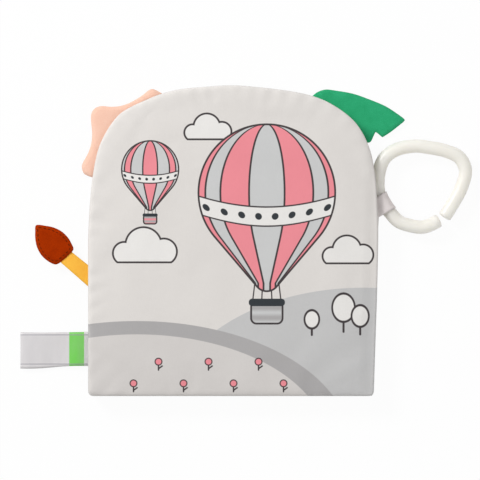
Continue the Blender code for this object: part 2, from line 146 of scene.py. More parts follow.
class Value:
    """A number in a material, on which the usual operators add Math nodes."""

    __add__ = __radd__ = joined("ADD")
    __sub__ = joined("SUBTRACT")
    __rsub__ = joined("SUBTRACT", is_turned=True)
    __mul__ = __rmul__ = joined("MULTIPLY")
    __truediv__ = joined("DIVIDE")
    __rtruediv__ = joined("DIVIDE", is_turned=True)
    # The smaller and the larger of two values
    least = joined("MINIMUM")
    most = joined("MAXIMUM")
    # 1 where this is above the other, and 0 elsewhere
    above = joined("GREATER_THAN")
    # A zigzag between 0 and a size
    ping_pong = joined("PINGPONG")

    def __init__(self, graph: "Nodes", socket: Link) -> None:
        """Wraps a number socket of a graph."""
        self.graph = graph
        self.socket = socket

    def __neg__(self) -> "Value":
        """Turns the sign round."""
        return self * -1.0

    def __abs__(self) -> "Value":
        """The size without its sign."""
        return self.graph.math("ABSOLUTE", self)

    def clamp(self) -> "Value":
        """The value held between 0 and 1."""
        return self.graph.math("ADD", self, 0.0, clamp=True)

    def sine(self) -> "Value":
        """The sine of an angle in radians."""
        return self.graph.math("SINE", self)

    def root(self) -> "Value":
        """The square root."""
        return self.graph.math("SQRT", self)


Number = Value | float | int


class Nodes:
    """A tree of nodes, with short ways to add to it."""

    def __init__(self, tree: bpy.types.NodeTree) -> None:
        """Wraps a node tree."""
        self.tree = tree

    def node(
        self, kind: str, settings: dict | None = None, inputs: dict | None = None
    ) -> bpy.types.Node:
        """Adds a node.

        Args:
            kind: The node's type.
            settings: Its settings, set first. Stops are a ramp's places and colours.
            inputs: The values or links of its sockets, by name or number.

        Returns:
            The new node.
        """
        added = self.tree.nodes.new(kind)
        for key, value in (settings or {}).items():
            if key == "stops":
                for step, (at, colour) in enumerate(value):
                    stops = added.color_ramp.elements
                    stop = stops[step] if step < 2 else stops.new(at)
                    stop.position = at
                    stop.color = colour
            else:
                setattr(added, key, value)
        for key, value in (inputs or {}).items():
            self.plug(added.inputs[key], value)
        return added

    def plug(self, socket: Link, value: "Number | Link | Sequence[float]") -> None:
        """Links a socket, or sets its value.

        Args:
            socket: The socket.
            value: A value, or what to link it to.
        """
        if isinstance(value, Value):
            value = value.socket
        if isinstance(value, bpy.types.NodeSocket):
            self.tree.links.new(value, socket)
        else:
            socket.default_value = value

    def math(self, operation: str, *values: Number, clamp: bool = False) -> Value:
        """Adds a Math node.

        Args:
            operation: What it does.
            *values: Its inputs in order.
            clamp: Whether the result is held between 0 and 1.

        Returns:
            The result.
        """
        settings = {"operation": operation, "use_clamp": clamp}
        added = self.node("ShaderNodeMath", settings, dict(enumerate(values)))
        return Value(self, added.outputs[0])


class Graph(Nodes):
    """A material's nodes, which draw from the places that its mesh keeps."""

    # The Mix node's sockets for colours
    MIX_COLOURS = (6, 7)
    MIX_RESULT = 2

    def __init__(self, name: str) -> None:
        """Starts a material with a Principled shader.

        Args:
            name: The material's name.
        """
        self.material = bpy.data.materials.new(name)
        self.material.use_nodes = True
        super().__init__(self.material.node_tree)
        self.shader = self.tree.nodes["Principled BSDF"]
        holder = self.node("ShaderNodeAttribute", {"attribute_name": PLACE})
        self.place: Link = holder.outputs["Vector"]
        parts = self.node("ShaderNodeSeparateXYZ", {}, {0: self.place})
        self.x, self.y, self.z = (Value(self, parts.outputs[i]) for i in range(3))

    def vector(self, operation: str, *values: "Link | Sequence[float]") -> Link:
        """Adds a Vector Math node and returns its vector."""
        inputs = dict(enumerate(values))
        return self.node("ShaderNodeVectorMath", {"operation": operation}, inputs).outputs["Vector"]

    def measure(self, operation: str, *values: "Link | Sequence[float]") -> Value:
        """Adds a Vector Math node and returns its number."""
        added = self.node("ShaderNodeVectorMath", {"operation": operation}, dict(enumerate(values)))
        return Value(self, added.outputs["Value"])

    def flat(self, x: Number, y: Number) -> Link:
        """A vector from two numbers."""
        return self.node("ShaderNodeCombineXYZ", {}, {0: x, 1: y}).outputs[0]

    def mix(
        self, share: Number, first: "Link | Colour", second: "Link | Colour", blend: str = "MIX"
    ) -> Link:
        """Mixes two colours.

        Args:
            share: How much of the second colour shows.
            first: The colour at 0.
            second: The colour at 1.
            blend: How they are mixed.

        Returns:
            The mixed colour.
        """
        settings = {"data_type": "RGBA", "blend_type": blend}
        inputs = {0: share, **dict(zip(self.MIX_COLOURS, (first, second)))}
        return self.node("ShaderNodeMix", settings, inputs).outputs[self.MIX_RESULT]

    def noise(
        self, scale: float, detail: float = 2.0, stretch: Sequence[float] = (1, 1, 1)
    ) -> Value:
        """Noise from the rest places.

        Args:
            scale: Patches in a millimetre.
            detail: How many finer layers it has.
            stretch: How much finer it is along each axis.

        Returns:
            A number around 0.5.
        """
        at = self.vector("MULTIPLY", self.place, stretch)
        inputs = {"Vector": at, "Scale": scale, "Detail": detail}
        return Value(self, self.node("ShaderNodeTexNoise", {}, inputs).outputs[0])

    def emboss(self, height: Value, strength: float = 1.0) -> None:
        """Feeds the shader's normal from a height in millimetres.

        Args:
            height: The height.
            strength: How much of it shows.
        """
        inputs = {"Height": height, "Strength": strength, "Distance": MM}
        bump = self.node("ShaderNodeBump", {}, inputs)
        self.plug(self.shader.inputs["Normal"], bump.outputs["Normal"])

    def shade(self, **sockets: "Number | Link | Sequence[float]") -> None:
        """Sets the shader's sockets, named with underscores.

        Args:
            **sockets: A value or a link for each.
        """
        for name, value in sockets.items():
            words = name.replace("_", " ").title()
            self.plug(self.shader.inputs[words.replace("Ior", "IOR")], value)


# Colours of the print
INK = seen(48, 40, 42)
NAVY = seen(26, 34, 40)
PINK = seen(247, 146, 156)
PAPER = seen(232, 228, 224)
PALE = seen(220, 216, 213)
GREY = seen(210, 211, 211)
GROUND = seen(204, 204, 204)
BAND = seen(178, 176, 176)
WHITE = seen(243, 241, 238)
# The width of the print's lines and of its soft edges
INK_WIDTH = 1.15
PRINT_EDGE = 0.3


class Drawing:
    """A picture printed on cloth, drawn in millimetres with signed distances."""

    PUFF_SHARES = ((0.0, 0.1, 0.32), (-0.34, -0.04, 0.2), (0.36, -0.01, 0.23))

    def __init__(self, graph: Graph, ground: "Link | Colour") -> None:
        """Starts with bare cloth of one colour.

        Args:
            graph: The material's nodes.
            ground: The cloth's colour.
        """
        self.graph = graph
        self.colour: Link | Colour = ground
        self.look_at(graph.x, graph.y)

    def fill(self, distance: Value, colour: "Link | Colour") -> None:
        """Fills what lies inside an outline."""
        inside = self.graph.math("MULTIPLY_ADD", distance, -1 / PRINT_EDGE, 0.5, clamp=True)
        self.colour = self.graph.mix(inside, self.colour, colour)

    def ink(self, distance: Value, width: Number = INK_WIDTH) -> None:
        """Draws a line along an outline."""
        self.fill(abs(distance) - width * 0.5, INK)

    def stamp(self, distance: Value, colour: "Link | Colour") -> None:
        """Fills what lies inside an outline and draws its line."""
        self.fill(distance, colour)
        self.ink(distance)

    def look_at(self, x: Value, y: Value) -> None:
        """Draws what follows at other coordinates."""
        self.x, self.y = x, y
        self.at = self.graph.flat(x, y)

    def disc(self, x: float, y: float, radius: float) -> Value:
        """Distance from a circle."""
        return self.graph.measure("DISTANCE", self.at, (x, y, 0)) - radius

    def oval(self, x: float, y: float, wide: float, high: float) -> Value:
        """Roughly the distance from an ellipse with these half sizes.

        Args:
            x: Its middle across.
            y: Its middle up.
            wide: Half its width.
            high: Half its height.

        Returns:
            The distance.
        """
        scaled = self.graph.vector("DIVIDE", self.at, (wide, high, 1))
        middle = (x / wide, y / high, 0)
        return (self.graph.measure("DISTANCE", scaled, middle) - 1) * min(wide, high)

    def bar(self, start: tuple[float, float], end: tuple[float, float], width: float) -> Value:
        """Distance from a straight stroke with round ends.

        Args:
            start: One end.
            end: The other end.
            width: The stroke's width.

        Returns:
            The distance.
        """
        run = Vector((*end, 0)) - Vector((*start, 0))
        offset = self.graph.vector("SUBTRACT", self.at, (*start, 0))
        share = self.graph.measure("DOT_PRODUCT", offset, run / run.length_squared).clamp()
        inputs = {0: tuple(run), "Scale": share}
        near = self.graph.node("ShaderNodeVectorMath", {"operation": "SCALE"}, inputs)
        return self.graph.measure("DISTANCE", offset, near.outputs["Vector"]) - width / 2

    def block(self, x: float, y: float, wide: float, high: float, corner: float) -> Value:
        """Distance from a rounded rectangle with these full sizes.

        Args:
            x: Its middle across.
            y: Its middle up.
            wide: Its width.
            high: Its height.
            corner: The radius of its corners.

        Returns:
            The distance.
        """
        across = (abs(self.x - x) - (wide / 2 - corner)).most(0)
        up = (abs(self.y - y) - (high / 2 - corner)).most(0)
        return self.graph.measure("LENGTH", self.graph.flat(across, up)) - corner

    def draw_cloud(self, x: float, y: float, size: float) -> None:
        """Draws a white cloud of three puffs with a flat underside.

        Args:
            x: Its middle across.
            y: Its middle up.
            size: Its size.
        """
        parts = [
            self.disc(x + across * size, y + up * size, reach * size)
            for across, up, reach in self.PUFF_SHARES
        ]
        floor = y - 0.2 * size
        middle = floor + 0.09 * size
        parts.append(self.block(x + 0.01 * size, middle, 0.78 * size, 0.18 * size, 0.089 * size))
        self.stamp(reduce(Value.least, parts).most(floor - self.y), WHITE)

    def wave(self, level: float, rise: float, length: float, shift: float) -> Value:
        """Height above a wavy line."""
        return self.y - level - ((self.x - shift) * (2 * math.pi / length)).sine() * rise


class Motif(Enum):
    """The picture on a page."""

    BALLOONS = "balloons"
    SUN = "sun"
    RAINBOW = "rainbow"
    LEAFY_TREES = "leafy trees"
    DOTS = "dots"
    ZIGZAG = "zigzag"
    SMALL_CLOUDS = "small clouds"


@dataclass(frozen=True)
class Balloon:
    """A striped hot-air balloon.

    Its middle, its radius and the widths of its lines and ropes are in millimetres. The other
    sizes are shares of the radius or, for gores, seams and dots, of half the width at a height.
    """

    page: Drawing
    x: float
    y: float
    radius: float
    line: Number
    stripe: "Link | Colour"
    cloth: "Link | Colour"
    rope: float = 0.8
    mouth_share: float = 0.186
    drop_share: float = 1.256
    basket_share: float = 0.35
    belt_share: float = 0.35
    belt_sag_share: float = 0.16
    belt_half_share: float = 0.14
    dot_share: float = 0.05
    dot_step_share: float = 0.13
    rope_shares: tuple[float, ...] = (-1.0, -0.36, 0.36, 1.0)
    gore_shares: tuple[tuple[float, float], ...] = ((0.26, 0.68), (0.9, 1.2))
    seam_shares: tuple[float, ...] = (0.26, 0.68, 0.9)

    @property
    def mouth(self) -> float:
        """The radius of the rounded lower end."""
        return self.mouth_share * self.radius

    @property
    def drop(self) -> float:
        """How far the middle of the lower end hangs below the balloon's."""
        return self.drop_share * self.radius

    @property
    def rim(self) -> tuple[float, float]:
        """The middle of the basket's rim."""
        return self.x, self.y - self.drop - self.basket_share * self.radius

    @property
    def slope(self) -> tuple[float, float]:
        """How far down and how far outwards the straight sides face."""
        lean = (self.radius - self.mouth) / self.drop
        return lean, math.sqrt(1 - lean * lean)

    def draw(self) -> None:
        """Draws the balloon, its ropes and its basket."""
        page, unit = self.page, self.radius
        down = self.y - page.y
        skin = self.skin(down)
        width = self.half_width(down)
        turn = abs(page.x - self.x) / width
        belt = down - (self.belt_share * unit - turn * turn * (self.belt_sag_share * unit))
        band = abs(belt) - self.belt_half_share * unit
        self.draw_ropes()
        page.fill(skin, self.cloth)
        for first, last in self.gore_shares:
            gore = (first - turn).most(turn - last) * width
            page.fill(gore.most(skin), self.stripe)
        page.fill(band.most(skin), WHITE)
        page.fill((abs(band) - self.line * 0.4).most(skin), INK)
        spread = (turn - self.dot_step_share).ping_pong(self.dot_step_share) * width
        dot = page.graph.measure("LENGTH", page.graph.flat(spread, belt)) - self.dot_share * unit
        page.fill(dot.most(skin + 1), NAVY)
        for share in self.seam_shares:
            seam = abs(turn - share) * width - self.line * 0.5
            page.fill(seam.most(skin).most(-band), INK)
        page.ink(skin, self.line)
        self.draw_basket()

    def skin(self, down: Value) -> Value:
        """Distance from the balloon: a round top, straight sides and a small round mouth.

        Args:
            down: The height below its middle.

        Returns:
            The distance.
        """
        graph, unit = self.page.graph, self.radius
        lean, upright = self.slope
        off_middle = graph.flat(abs(self.page.x - self.x), down)
        top = graph.measure("LENGTH", off_middle) - unit
        low = graph.measure("DISTANCE", off_middle, (0, self.drop, 0)) - self.mouth
        side = graph.measure("DOT_PRODUCT", off_middle, (upright, lean, 0)) - unit
        along = graph.measure("DOT_PRODUCT", off_middle, (-lean, upright, 0))
        is_low = along.above(upright * self.drop)
        is_high = 1 - along.above(0)
        return top * is_high + low * is_low + side * (1 - is_high - is_low)

    def half_width(self, down: Value) -> Value:
        """Half the balloon's width at a height.

        Args:
            down: The height below its middle.

        Returns:
            Half the width.
        """
        lean, upright = self.slope
        round_part = (self.radius**2 - down * down).most(1).root()
        straight_part = (self.radius - down * lean) / upright
        is_straight = down.above(lean * self.radius)
        width = round_part * (1 - is_straight) + straight_part * is_straight
        return width.most(self.mouth)

    def draw_ropes(self) -> None:
        """Draws the ropes between the balloon and its basket."""
        x, top = self.rim
        for share in self.rope_shares:
            start = (x + share * 0.9 * self.mouth, self.y - self.drop)
            end = (x + share * 0.21 * self.radius, top)
            self.page.fill(self.page.bar(start, end, self.rope), INK)

    def draw_basket(self) -> None:
        """Draws the basket, woven in rows under a dark rim."""
        page, unit, (x, top) = self.page, self.radius, self.rim
        body = page.block(x, top - 0.15 * unit, 0.46 * unit, 0.32 * unit, 0.08 * unit)
        page.fill(body, BAND)
        rows = ((page.y - top) * (6 / unit)).ping_pong(0.45) - 0.2
        page.fill(rows.most(body + 0.6), self.cloth)
        page.ink(body, self.line)
        page.fill(page.block(x, top, 0.53 * unit, 0.11 * unit, 0.05 * unit), NAVY)


# Where the clouds, trees and dots of the pages are: across, up and, where it varies, their size
COVER_CLOUDS = ((-54, -6, 34), (68, -8, 27), (-16, 66, 25))
COVER_TREES = ((66, -40, 8.5), (76, -45, 6.5), (47, -47, 5.5))
SUN_CLOUDS = ((-40, 8, 40), (44, 2, 34))
RAINBOW_CLOUDS = ((-46, -20, 46), (46, -20, 46))
LEAFY_TREES = ((0, 24, 34), (-52, 2, 21), (52, 6, 23))
SMALL_CLOUDS = (
    (-56, 56), (4, 66), (54, 48), (-30, 24), (30, 16),
    (-62, -14), (-4, -24), (58, -26), (-34, -62), (28, -66),
)
SMALL_DOTS = (
    (-26, 52), (30, 44), (2, 34), (-58, 16), (60, 10),
    (-34, -32), (28, -44), (-64, -54), (64, -60),
)


@dataclass(frozen=True)
class Page:
    """What is printed on one side of a leaf."""

    motif: Motif
    ground: Colour = PAPER
    hill: Colour = GROUND
    stripe: Colour = BAND
    figure: Colour = PINK


class Picture(Drawing):
    """The picture on one side of a leaf."""

    def __init__(self, graph: Graph, page: Page) -> None:
        """Starts with the page's bare cloth."""
        super().__init__(graph, page.ground)
        self.page = page

    def draw(self) -> "Link | Colour":
        """Draws the page's picture and returns the cloth's colour.

        Returns:
            The cloth's colour.
        """
        if self.page.motif in (Motif.SUN, Motif.RAINBOW, Motif.LEAFY_TREES):
            self.draw_landscape()
        ways = {
            Motif.BALLOONS: self.draw_cover,
            Motif.SUN: self.draw_sun,
            Motif.RAINBOW: self.draw_rainbow,
            Motif.LEAFY_TREES: self.draw_leafy_trees,
            Motif.DOTS: self.draw_dots,
            Motif.ZIGZAG: self.draw_zigzag,
            Motif.SMALL_CLOUDS: self.draw_small_clouds,
        }
        ways[self.page.motif]()
        return self.colour

    def draw_landscape(self) -> None:
        """Draws hills and a path across the lower part of the page."""
        self.fill(self.wave(level=-27, rise=6.5, length=250, shift=-10), self.page.hill)
        path = self.wave(level=-62, rise=7, length=205, shift=60)
        self.fill(path, self.page.stripe)
        self.fill(path + 8.4, PALE)

    def draw_hills(self) -> None:
        """Draws the cover's two round hills, the nearer one with a darker crest."""
        self.fill(self.oval(x=78, y=-104, wide=118, high=76), self.page.hill)
        near = self.oval(x=-58, y=-122, wide=128, high=74)
        self.fill(near, self.page.stripe)
        self.fill(near + 8, PALE)

    def draw_cover(self) -> None:
        """Draws two balloons between clouds, over hills with flowers and trees."""
        for x, y, size in COVER_CLOUDS:
            self.draw_cloud(x, y, size)
        self.draw_hills()
        self.draw_balloons()
        for x, y, size in COVER_TREES:
            self.fill(self.bar((x, y - 1.7 * size), (x, y), width=1.3), INK)
            self.stamp(self.oval(x, y, 0.8 * size, size), WHITE)
        self.draw_flowers()

    def draw_balloons(self) -> None:
        """Draws a near balloon and, in a window of its own, the same one farther off."""
        graph, x, y = self.graph, self.x, self.y
        near_x, near_y = 20, 29
        far_x, far_y, shrink = -50, 43, 2.4
        is_far = (-x).above(29) * y.above(9)
        shift_x = (x - far_x) * shrink + near_x - x
        shift_y = (y - far_y) * shrink + near_y - y
        self.look_at(x + is_far * shift_x, y + is_far * shift_y)
        stripe, cloth = graph.mix(is_far, PINK, GREY), graph.mix(is_far, GREY, PINK)
        line = is_far * 0.9 + INK_WIDTH
        Balloon(self, near_x, near_y, 41, line, stripe, cloth).draw()
        self.look_at(x, y)

    def draw_flowers(self) -> None:
        """Draws two staggered rows of flowers at the foot of the page."""
        graph, x, y = self.graph, self.x, self.y
        half_gap, low_y, row_rise = 15, -86, 13
        row = y.above(low_y + row_rise / 2)
        across = graph.math("WRAP", x + row * half_gap, half_gap, -half_gap)
        self.look_at(across, y - low_y - row * row_rise)
        field = (abs(x + 15) - 55).most(y + 66)
        stalk = self.bar((0, -4.4), (0, 0), width=0.9)
        leaf = self.bar((0, -3.6), (2.2, -2), width=0.9)
        self.fill(stalk.least(leaf).most(field), INK)
        self.fill(self.disc(0, 0.6, radius=2.4).most(field), INK)
        self.fill(self.disc(0, 0.6, radius=1.7).most(field), self.page.figure)
        self.look_at(x, y)

    def draw_sun(self) -> None:
        """Draws a sun with rays and two clouds."""
        middle, rays = Vector((0, 26)), 12
        for step in range(rays):
            turn = 2 * math.pi * step / rays
            ray = Vector((math.cos(turn), math.sin(turn)))
            start, end = middle + ray * 33, middle + ray * (43 if step % 2 else 39)
            self.fill(self.bar(tuple(start), tuple(end), width=4.2), self.page.figure)
        self.stamp(self.disc(*middle, radius=27), self.page.figure)
        for x, y, size in SUN_CLOUDS:
            self.draw_cloud(x, y, size)

    def draw_rainbow(self) -> None:
        """Draws a rainbow that stands on the hills."""
        stripe, foot = 9.5, -28
        bow = self.disc(0, -20, radius=66)
        colours = (self.page.figure, WHITE, self.page.stripe, PINK)
        for step, colour in enumerate(colours):
            band = (bow + stripe * step).most(-bow - stripe * (step + 1))
            self.fill(band.most(foot - self.y), colour)
        for inset in (0, stripe * len(colours)):
            self.ink((bow + inset).most(foot - self.y))
        for x, y, size in RAINBOW_CLOUDS:
            self.draw_cloud(x, y, size)

    def draw_leafy_trees(self) -> None:
        """Draws a round-topped tree between two smaller ones."""
        for x, y, size in LEAFY_TREES:
            self.fill(self.bar((x, y - size), (x, y - 1.9 * size), 0.2 * size), self.page.stripe)
            self.stamp(self.oval(x, y, 0.86 * size, size), self.page.figure)
            for lift in (-0.45, 0.0, 0.4):
                for side in (-0.42, 0.42):
                    tip = (x + side * size, y + (lift + 0.28) * size)
                    self.fill(self.bar((x, y + lift * size), tip, width=1.1), INK)
            self.fill(self.bar((x, y - size), (x, y + 0.55 * size), width=1.4), INK)

    def margin(self) -> Value:
        """Distance from the frame that a pattern keeps to."""
        return self.block(x=-2, y=-4, wide=152, high=168, corner=58)

    def draw_dots(self) -> None:
        """Draws staggered dots in two sizes."""
        graph, gap = self.graph, 12
        across = (self.x + self.y).ping_pong(gap)
        up = (self.x - self.y).ping_pong(gap)
        large = graph.measure("LENGTH", graph.flat(across, up)) - 3.8
        small = graph.measure("LENGTH", graph.flat(gap - across, gap - up)) - 2
        self.fill(large.most(self.margin()), self.page.figure)
        self.fill(small.most(self.margin()), self.page.stripe)

    def draw_zigzag(self) -> None:
        """Draws thick and thin zigzags by turns."""
        zigzag = (self.y + self.x.ping_pong(9)).ping_pong(8)
        self.fill((zigzag - 1.6).most(self.margin()), self.page.figure)
        self.fill((6.9 - zigzag).most(self.margin()), self.page.stripe)

    def draw_small_clouds(self) -> None:
        """Draws small clouds, and dots between them."""
        for x, y in SMALL_CLOUDS:
            self.draw_cloud(x, y, size=25)
        for x, y in SMALL_DOTS:
            self.fill(self.disc(x, y, radius=1.9), self.page.figure)


class Finish:
    """What a piece is made of."""

    def material(self, name: str) -> bpy.types.Material:
        """Makes a material of this finish.

        Args:
            name: The material's name.

        Returns:
            The new material.
        """
        graph = Graph(name)
        self.dress(graph)
        return graph.material

    def dress(self, graph: Graph) -> None:
        """Adds the finish's nodes."""
        raise NotImplementedError


@dataclass(frozen=True)
class PrintedCloth(Finish):
    """Woven polyester with a print, which is a little rubbed along the seams."""

    page: Page
    rubbed: Colour = seen(236, 233, 230)
    thread: Colour = seen(217, 214, 212)
    thread_scale: float = 1.6
    warp: tuple[float, ...] = (5.0, 0.18, 1.0)
    weft: tuple[float, ...] = (0.18, 5.0, 1.0)
    rubbed_width: float = 2.2

    def dress(self, graph: Graph) -> None:
        """Adds the nodes of the cloth.

        Args:
            graph: The material's nodes.
        """
        printed = Picture(graph, self.page).draw()
        threads = graph.noise(self.thread_scale, 1.0, self.warp)
        crossing = graph.noise(self.thread_scale, 1.0, self.weft)
        patches = graph.noise(0.045, 3.0)
        holder = graph.node("ShaderNodeAttribute", {"attribute_name": RIM})
        from_edge = Value(graph, holder.outputs["Fac"])
        near_edge = ((self.rubbed_width - from_edge) * 0.3).clamp()
        wear = near_edge * (graph.noise(0.5, 3.0) * 1.6 - 0.5).clamp()
        printed = graph.mix(wear, printed, self.rubbed)
        share = (0.16 + threads * 0.18 + crossing * 0.08 - patches * 0.12).clamp()
        cloth = graph.mix(share, printed, self.thread, "MULTIPLY")
        weave = (graph.x * 9.0).sine() * (graph.y * 9.0).sine()
        yarn = weave * 0.02 + threads * 0.045 + crossing * 0.035
        graph.emboss(yarn + graph.noise(0.16, 4.0) * 0.3, 0.6)
        graph.shade(
            base_color=cloth, roughness=0.66 + threads * 0.2, sheen_weight=0.08, sheen_roughness=0.5
        )


@dataclass(frozen=True)
class Felt(Finish):
    """Pressed felt: short matted fibres in two tones."""

    light: Colour
    dark: Colour
    gloss: float = 0.2
    fuzz: float = 0.04

    def dress(self, graph: Graph) -> None:
        """Adds the nodes of the felt.

        Args:
            graph: The material's nodes.
        """
        fibres = graph.noise(1.9, 6.0, (1.0, 1.4, 1.0))
        crossing = graph.noise(2.4, 5.0, (1.6, 0.8, 1.0))
        patches = graph.noise(0.14, 3.0)
        matted = (fibres - 0.5) * 1.1 + (crossing - 0.5) * 0.7
        share = (matted + (patches - 0.5) * 0.7 + 0.35).clamp()
        graph.emboss(fibres * 0.22 + crossing * 0.14 + patches * 0.2, 0.8)
        graph.shade(
            base_color=graph.mix(share, self.light, self.dark),
            roughness=0.9 + fibres * 0.08,
            sheen_weight=self.fuzz,
            specular_ior_level=self.gloss,
        )


@dataclass(frozen=True)
class Ribbon(Finish):
    """Woven ribbon with fine ribs across it: its direction, and the distance between its ribs."""

    light: Colour
    dark: Colour
    along_x: float
    along_y: float
    sheen: float = 0.2
    roughness: float = 0.62
    rib: float = 0.55

    def dress(self, graph: Graph) -> None:
        """Adds the nodes of the ribbon.

        Args:
            graph: The material's nodes.
        """
        along = graph.x * self.along_x + graph.y * self.along_y
        ribs = (along * (2 * math.pi / self.rib)).sine()
        threads = graph.noise(1.4, 3.0)
        patches = graph.noise(0.22, 2.0)
        share = (0.12 + ribs * 0.1 + (threads - 0.5) * 0.5 + (patches - 0.5) * 0.6).clamp()
        graph.emboss(ribs * 0.035 + threads * 0.06 + patches * 0.1, 0.7)
        graph.shade(
            base_color=graph.mix(share, self.light, self.dark),
            roughness=self.roughness + threads * 0.15,
            sheen_weight=self.sheen,
            sheen_roughness=0.4,
        )


@dataclass(frozen=True)
class Satin(Finish):
    """Glossy satin with a plain printed block near the seam, two fine lines across, and broad
    sweeps of painted shade.
    """

    cloth: Colour = seen(222, 219, 220)
    # The colour of the painted shade in the satin's broad sweeps
    shade: Colour = seen(178, 175, 178)
    block: Colour = seen(106, 212, 66)
    line: Colour = seen(150, 148, 156)
    block_middle: tuple[float, float] = (-94.6, -65.4)
    block_size: tuple[float, float] = (9.0, 30.0)
    line_levels: tuple[float, ...] = (-56.6, -74.2)
    line_half: float = 0.22

    def dress(self, graph: Graph) -> None:
        """Adds the nodes of the satin.

        Args:
            graph: The material's nodes.
        """
        page = Drawing(graph, self.cloth)
        page.fill(page.block(*self.block_middle, *self.block_size, corner=0.4), self.block)
        for level in self.line_levels:
            page.fill(abs(page.y - level) - self.line_half, self.line)
        floats = graph.noise(1.2, 3.0, (0.35, 6.0, 1.0))
        sweep = graph.noise(0.09, 2.0, (1.6, 0.5, 1.0))
        # Broad sweeps, with a little of the floats, go towards the shade colour: painted shade of
        # the satin's sheen
        share = (sweep * 0.9 - 0.25 + floats * 0.15).clamp()
        shaded = graph.mix(share, page.colour, self.shade)
        graph.emboss(floats * 0.03 + sweep * 0.25, 0.6)
        graph.shade(
            base_color=graph.mix(0.55, page.colour, shaded),
            roughness=0.3 + floats * 0.16,
            sheen_weight=0.3,
            sheen_roughness=0.25,
        )


@dataclass(frozen=True)
class MilkyPlastic(Finish):
    """Smooth moulded plastic, milky under its surface."""

    light: Colour = seen(250, 243, 231)
    dark: Colour = seen(246, 238, 226)
    glow_reach: tuple[float, float, float] = (0.012, 0.012, 0.011)

    def dress(self, graph: Graph) -> None:
        """Adds the nodes of the plastic.

        Args:
            graph: The material's nodes.
        """
        flow = graph.noise(0.06, 2.0)
        grain = graph.noise(0.9, 4.0)
        scuffs = graph.noise(0.5, 6.0, (1.0, 0.25, 1.0))
        graph.emboss(flow * 0.16 + grain * 0.012, 0.6)
        graph.shade(
            base_color=graph.mix((flow * 1.6 - 0.3).clamp(), self.light, self.dark),
            roughness=0.36 + grain * 0.08 + (scuffs - 0.55).most(0) * 0.6,
            subsurface_weight=0.85,
            subsurface_radius=self.glow_reach,
            subsurface_scale=1.0,
            coat_weight=0.06,
            coat_roughness=0.25,
            ior=1.49,
        )


@dataclass(frozen=True)
class CrinkleFilm(Finish):
    """Thin film that crackles, painted lighter on its raised creases and darker in their hollows.
    """

    dark: Colour = seen(226, 230, 234)
    light: Colour = seen(246, 248, 250)

    def dress(self, graph: Graph) -> None:
        """Adds the nodes of the film.

        Args:
            graph: The material's nodes.
        """
        creases = graph.noise(0.2, 8.0)
        graph.emboss(creases * 0.4, 0.8)
        # Lighter where the creases stand up and darker in their hollows: painted light and shade of
        # the creases
        colour = graph.mix(creases, self.dark, self.light)
        graph.shade(base_color=colour, roughness=0.16 + creases * 0.2)


@dataclass(frozen=True)
class Wadding(Finish):
    """Loose white fibre, painted lighter on its raised fibres and darker between them."""

    dark: Colour = seen(232, 230, 226)
    light: Colour = seen(250, 249, 246)

    def dress(self, graph: Graph) -> None:
        """Adds the nodes of the wadding.

        Args:
            graph: The material's nodes.
        """
        fibres = graph.noise(0.8, 8.0)
        tufts = graph.noise(0.12, 4.0)
        graph.emboss(fibres * 0.5 + tufts * 0.6, 1.0)
        # Lighter on the raised fibres and darker between them: painted shade among the fibres
        colour = graph.mix(fibres, self.dark, self.light)
        graph.shade(base_color=colour, roughness=0.9 + tufts * 0.1)


@dataclass(frozen=True)
class Thread(Finish):
    """Sewing thread, with the length of its twist, painted lighter on its raised strands and darker
    in its grooves.
    """

    light: Colour
    dark: Colour
    twist: float = 0.35

    def dress(self, graph: Graph) -> None:
        """Adds the nodes of the thread.

        Args:
            graph: The material's nodes.
        """
        strands = ((graph.x + graph.y) * (2 * math.pi / self.twist)).sine() * 0.5 + 0.5
        fuzz = graph.noise(3.0, 4.0)
        graph.emboss(strands * 0.06 + fuzz * 0.04, 0.8)
        # Lighter on the raised strands and darker in the grooves of the twist: painted light and
        # shade
        graph.shade(
            base_color=graph.mix(strands, self.dark, self.light),
            roughness=0.6 + fuzz * 0.2,
            specular_ior_level=0.05,
        )


def make_piece(name: str, mesh: bpy.types.Mesh, material: bpy.types.Material) -> bpy.types.Object:
    """Adds a smooth piece to the scene, with its rest places kept in its mesh.

    Args:
        name: The piece's name.
        mesh: Its mesh, in metres in the frame.
        material: What it is made of.

    Returns:
        The new object.
    """
    mesh.name = name
    mesh.materials.clear()
    mesh.materials.append(material)
    mesh.shade_smooth()
    piece = bpy.data.objects.new(name, mesh)
    bpy.context.scene.collection.objects.link(piece)
    keep_places(mesh)
    return piece


def keep_places(mesh: bpy.types.Mesh) -> None:
    """Writes each vertex's place, in millimetres, into the mesh's attribute.

    Args:
        mesh: The mesh.
    """
    places = np.empty(len(mesh.vertices) * 3, np.float32)
    mesh.vertices.foreach_get("co", places)
    kept = mesh.attributes.get(PLACE) or mesh.attributes.new(PLACE, "FLOAT_VECTOR", "POINT")
    kept.data.foreach_set("vector", places / MM)


def seat(piece: bpy.types.Object, body: str, node: str | None = None) -> None:
    """Lets a piece ride on a body.

    Args:
        piece: The piece.
        body: The body.
        node: The CAD node that it stands for.
    """
    if node:
        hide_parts(node)
    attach(piece, body)
    log.info("%s rides on %s", piece.name, body)


def seat_across(
    piece: bpy.types.Object, bodies: Sequence[str], node: str
) -> None:
    """Hides the CAD node that a piece stands for and bakes the piece's place into its mesh.

    Args:
        piece: The piece.
        bodies: The body that holds it, and its own.
        node: The CAD node that it stands for.
    """
    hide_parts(node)
    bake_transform(piece)
    log.info("%s bends from %s to %s", piece.name, *bodies)


def apply_modifiers(piece: bpy.types.Object) -> None:
    """Makes a piece's modifiers part of its mesh, and keeps its places anew.

    Args:
        piece: The piece.
    """
    graph = bpy.context.evaluated_depsgraph_get()
    finished = bpy.data.meshes.new_from_object(piece.evaluated_get(graph), depsgraph=graph)
    piece.modifiers.clear()
    old = piece.data
    name = old.name
    piece.data = finished
    bpy.data.meshes.remove(old)
    finished.name = name
    keep_places(finished)


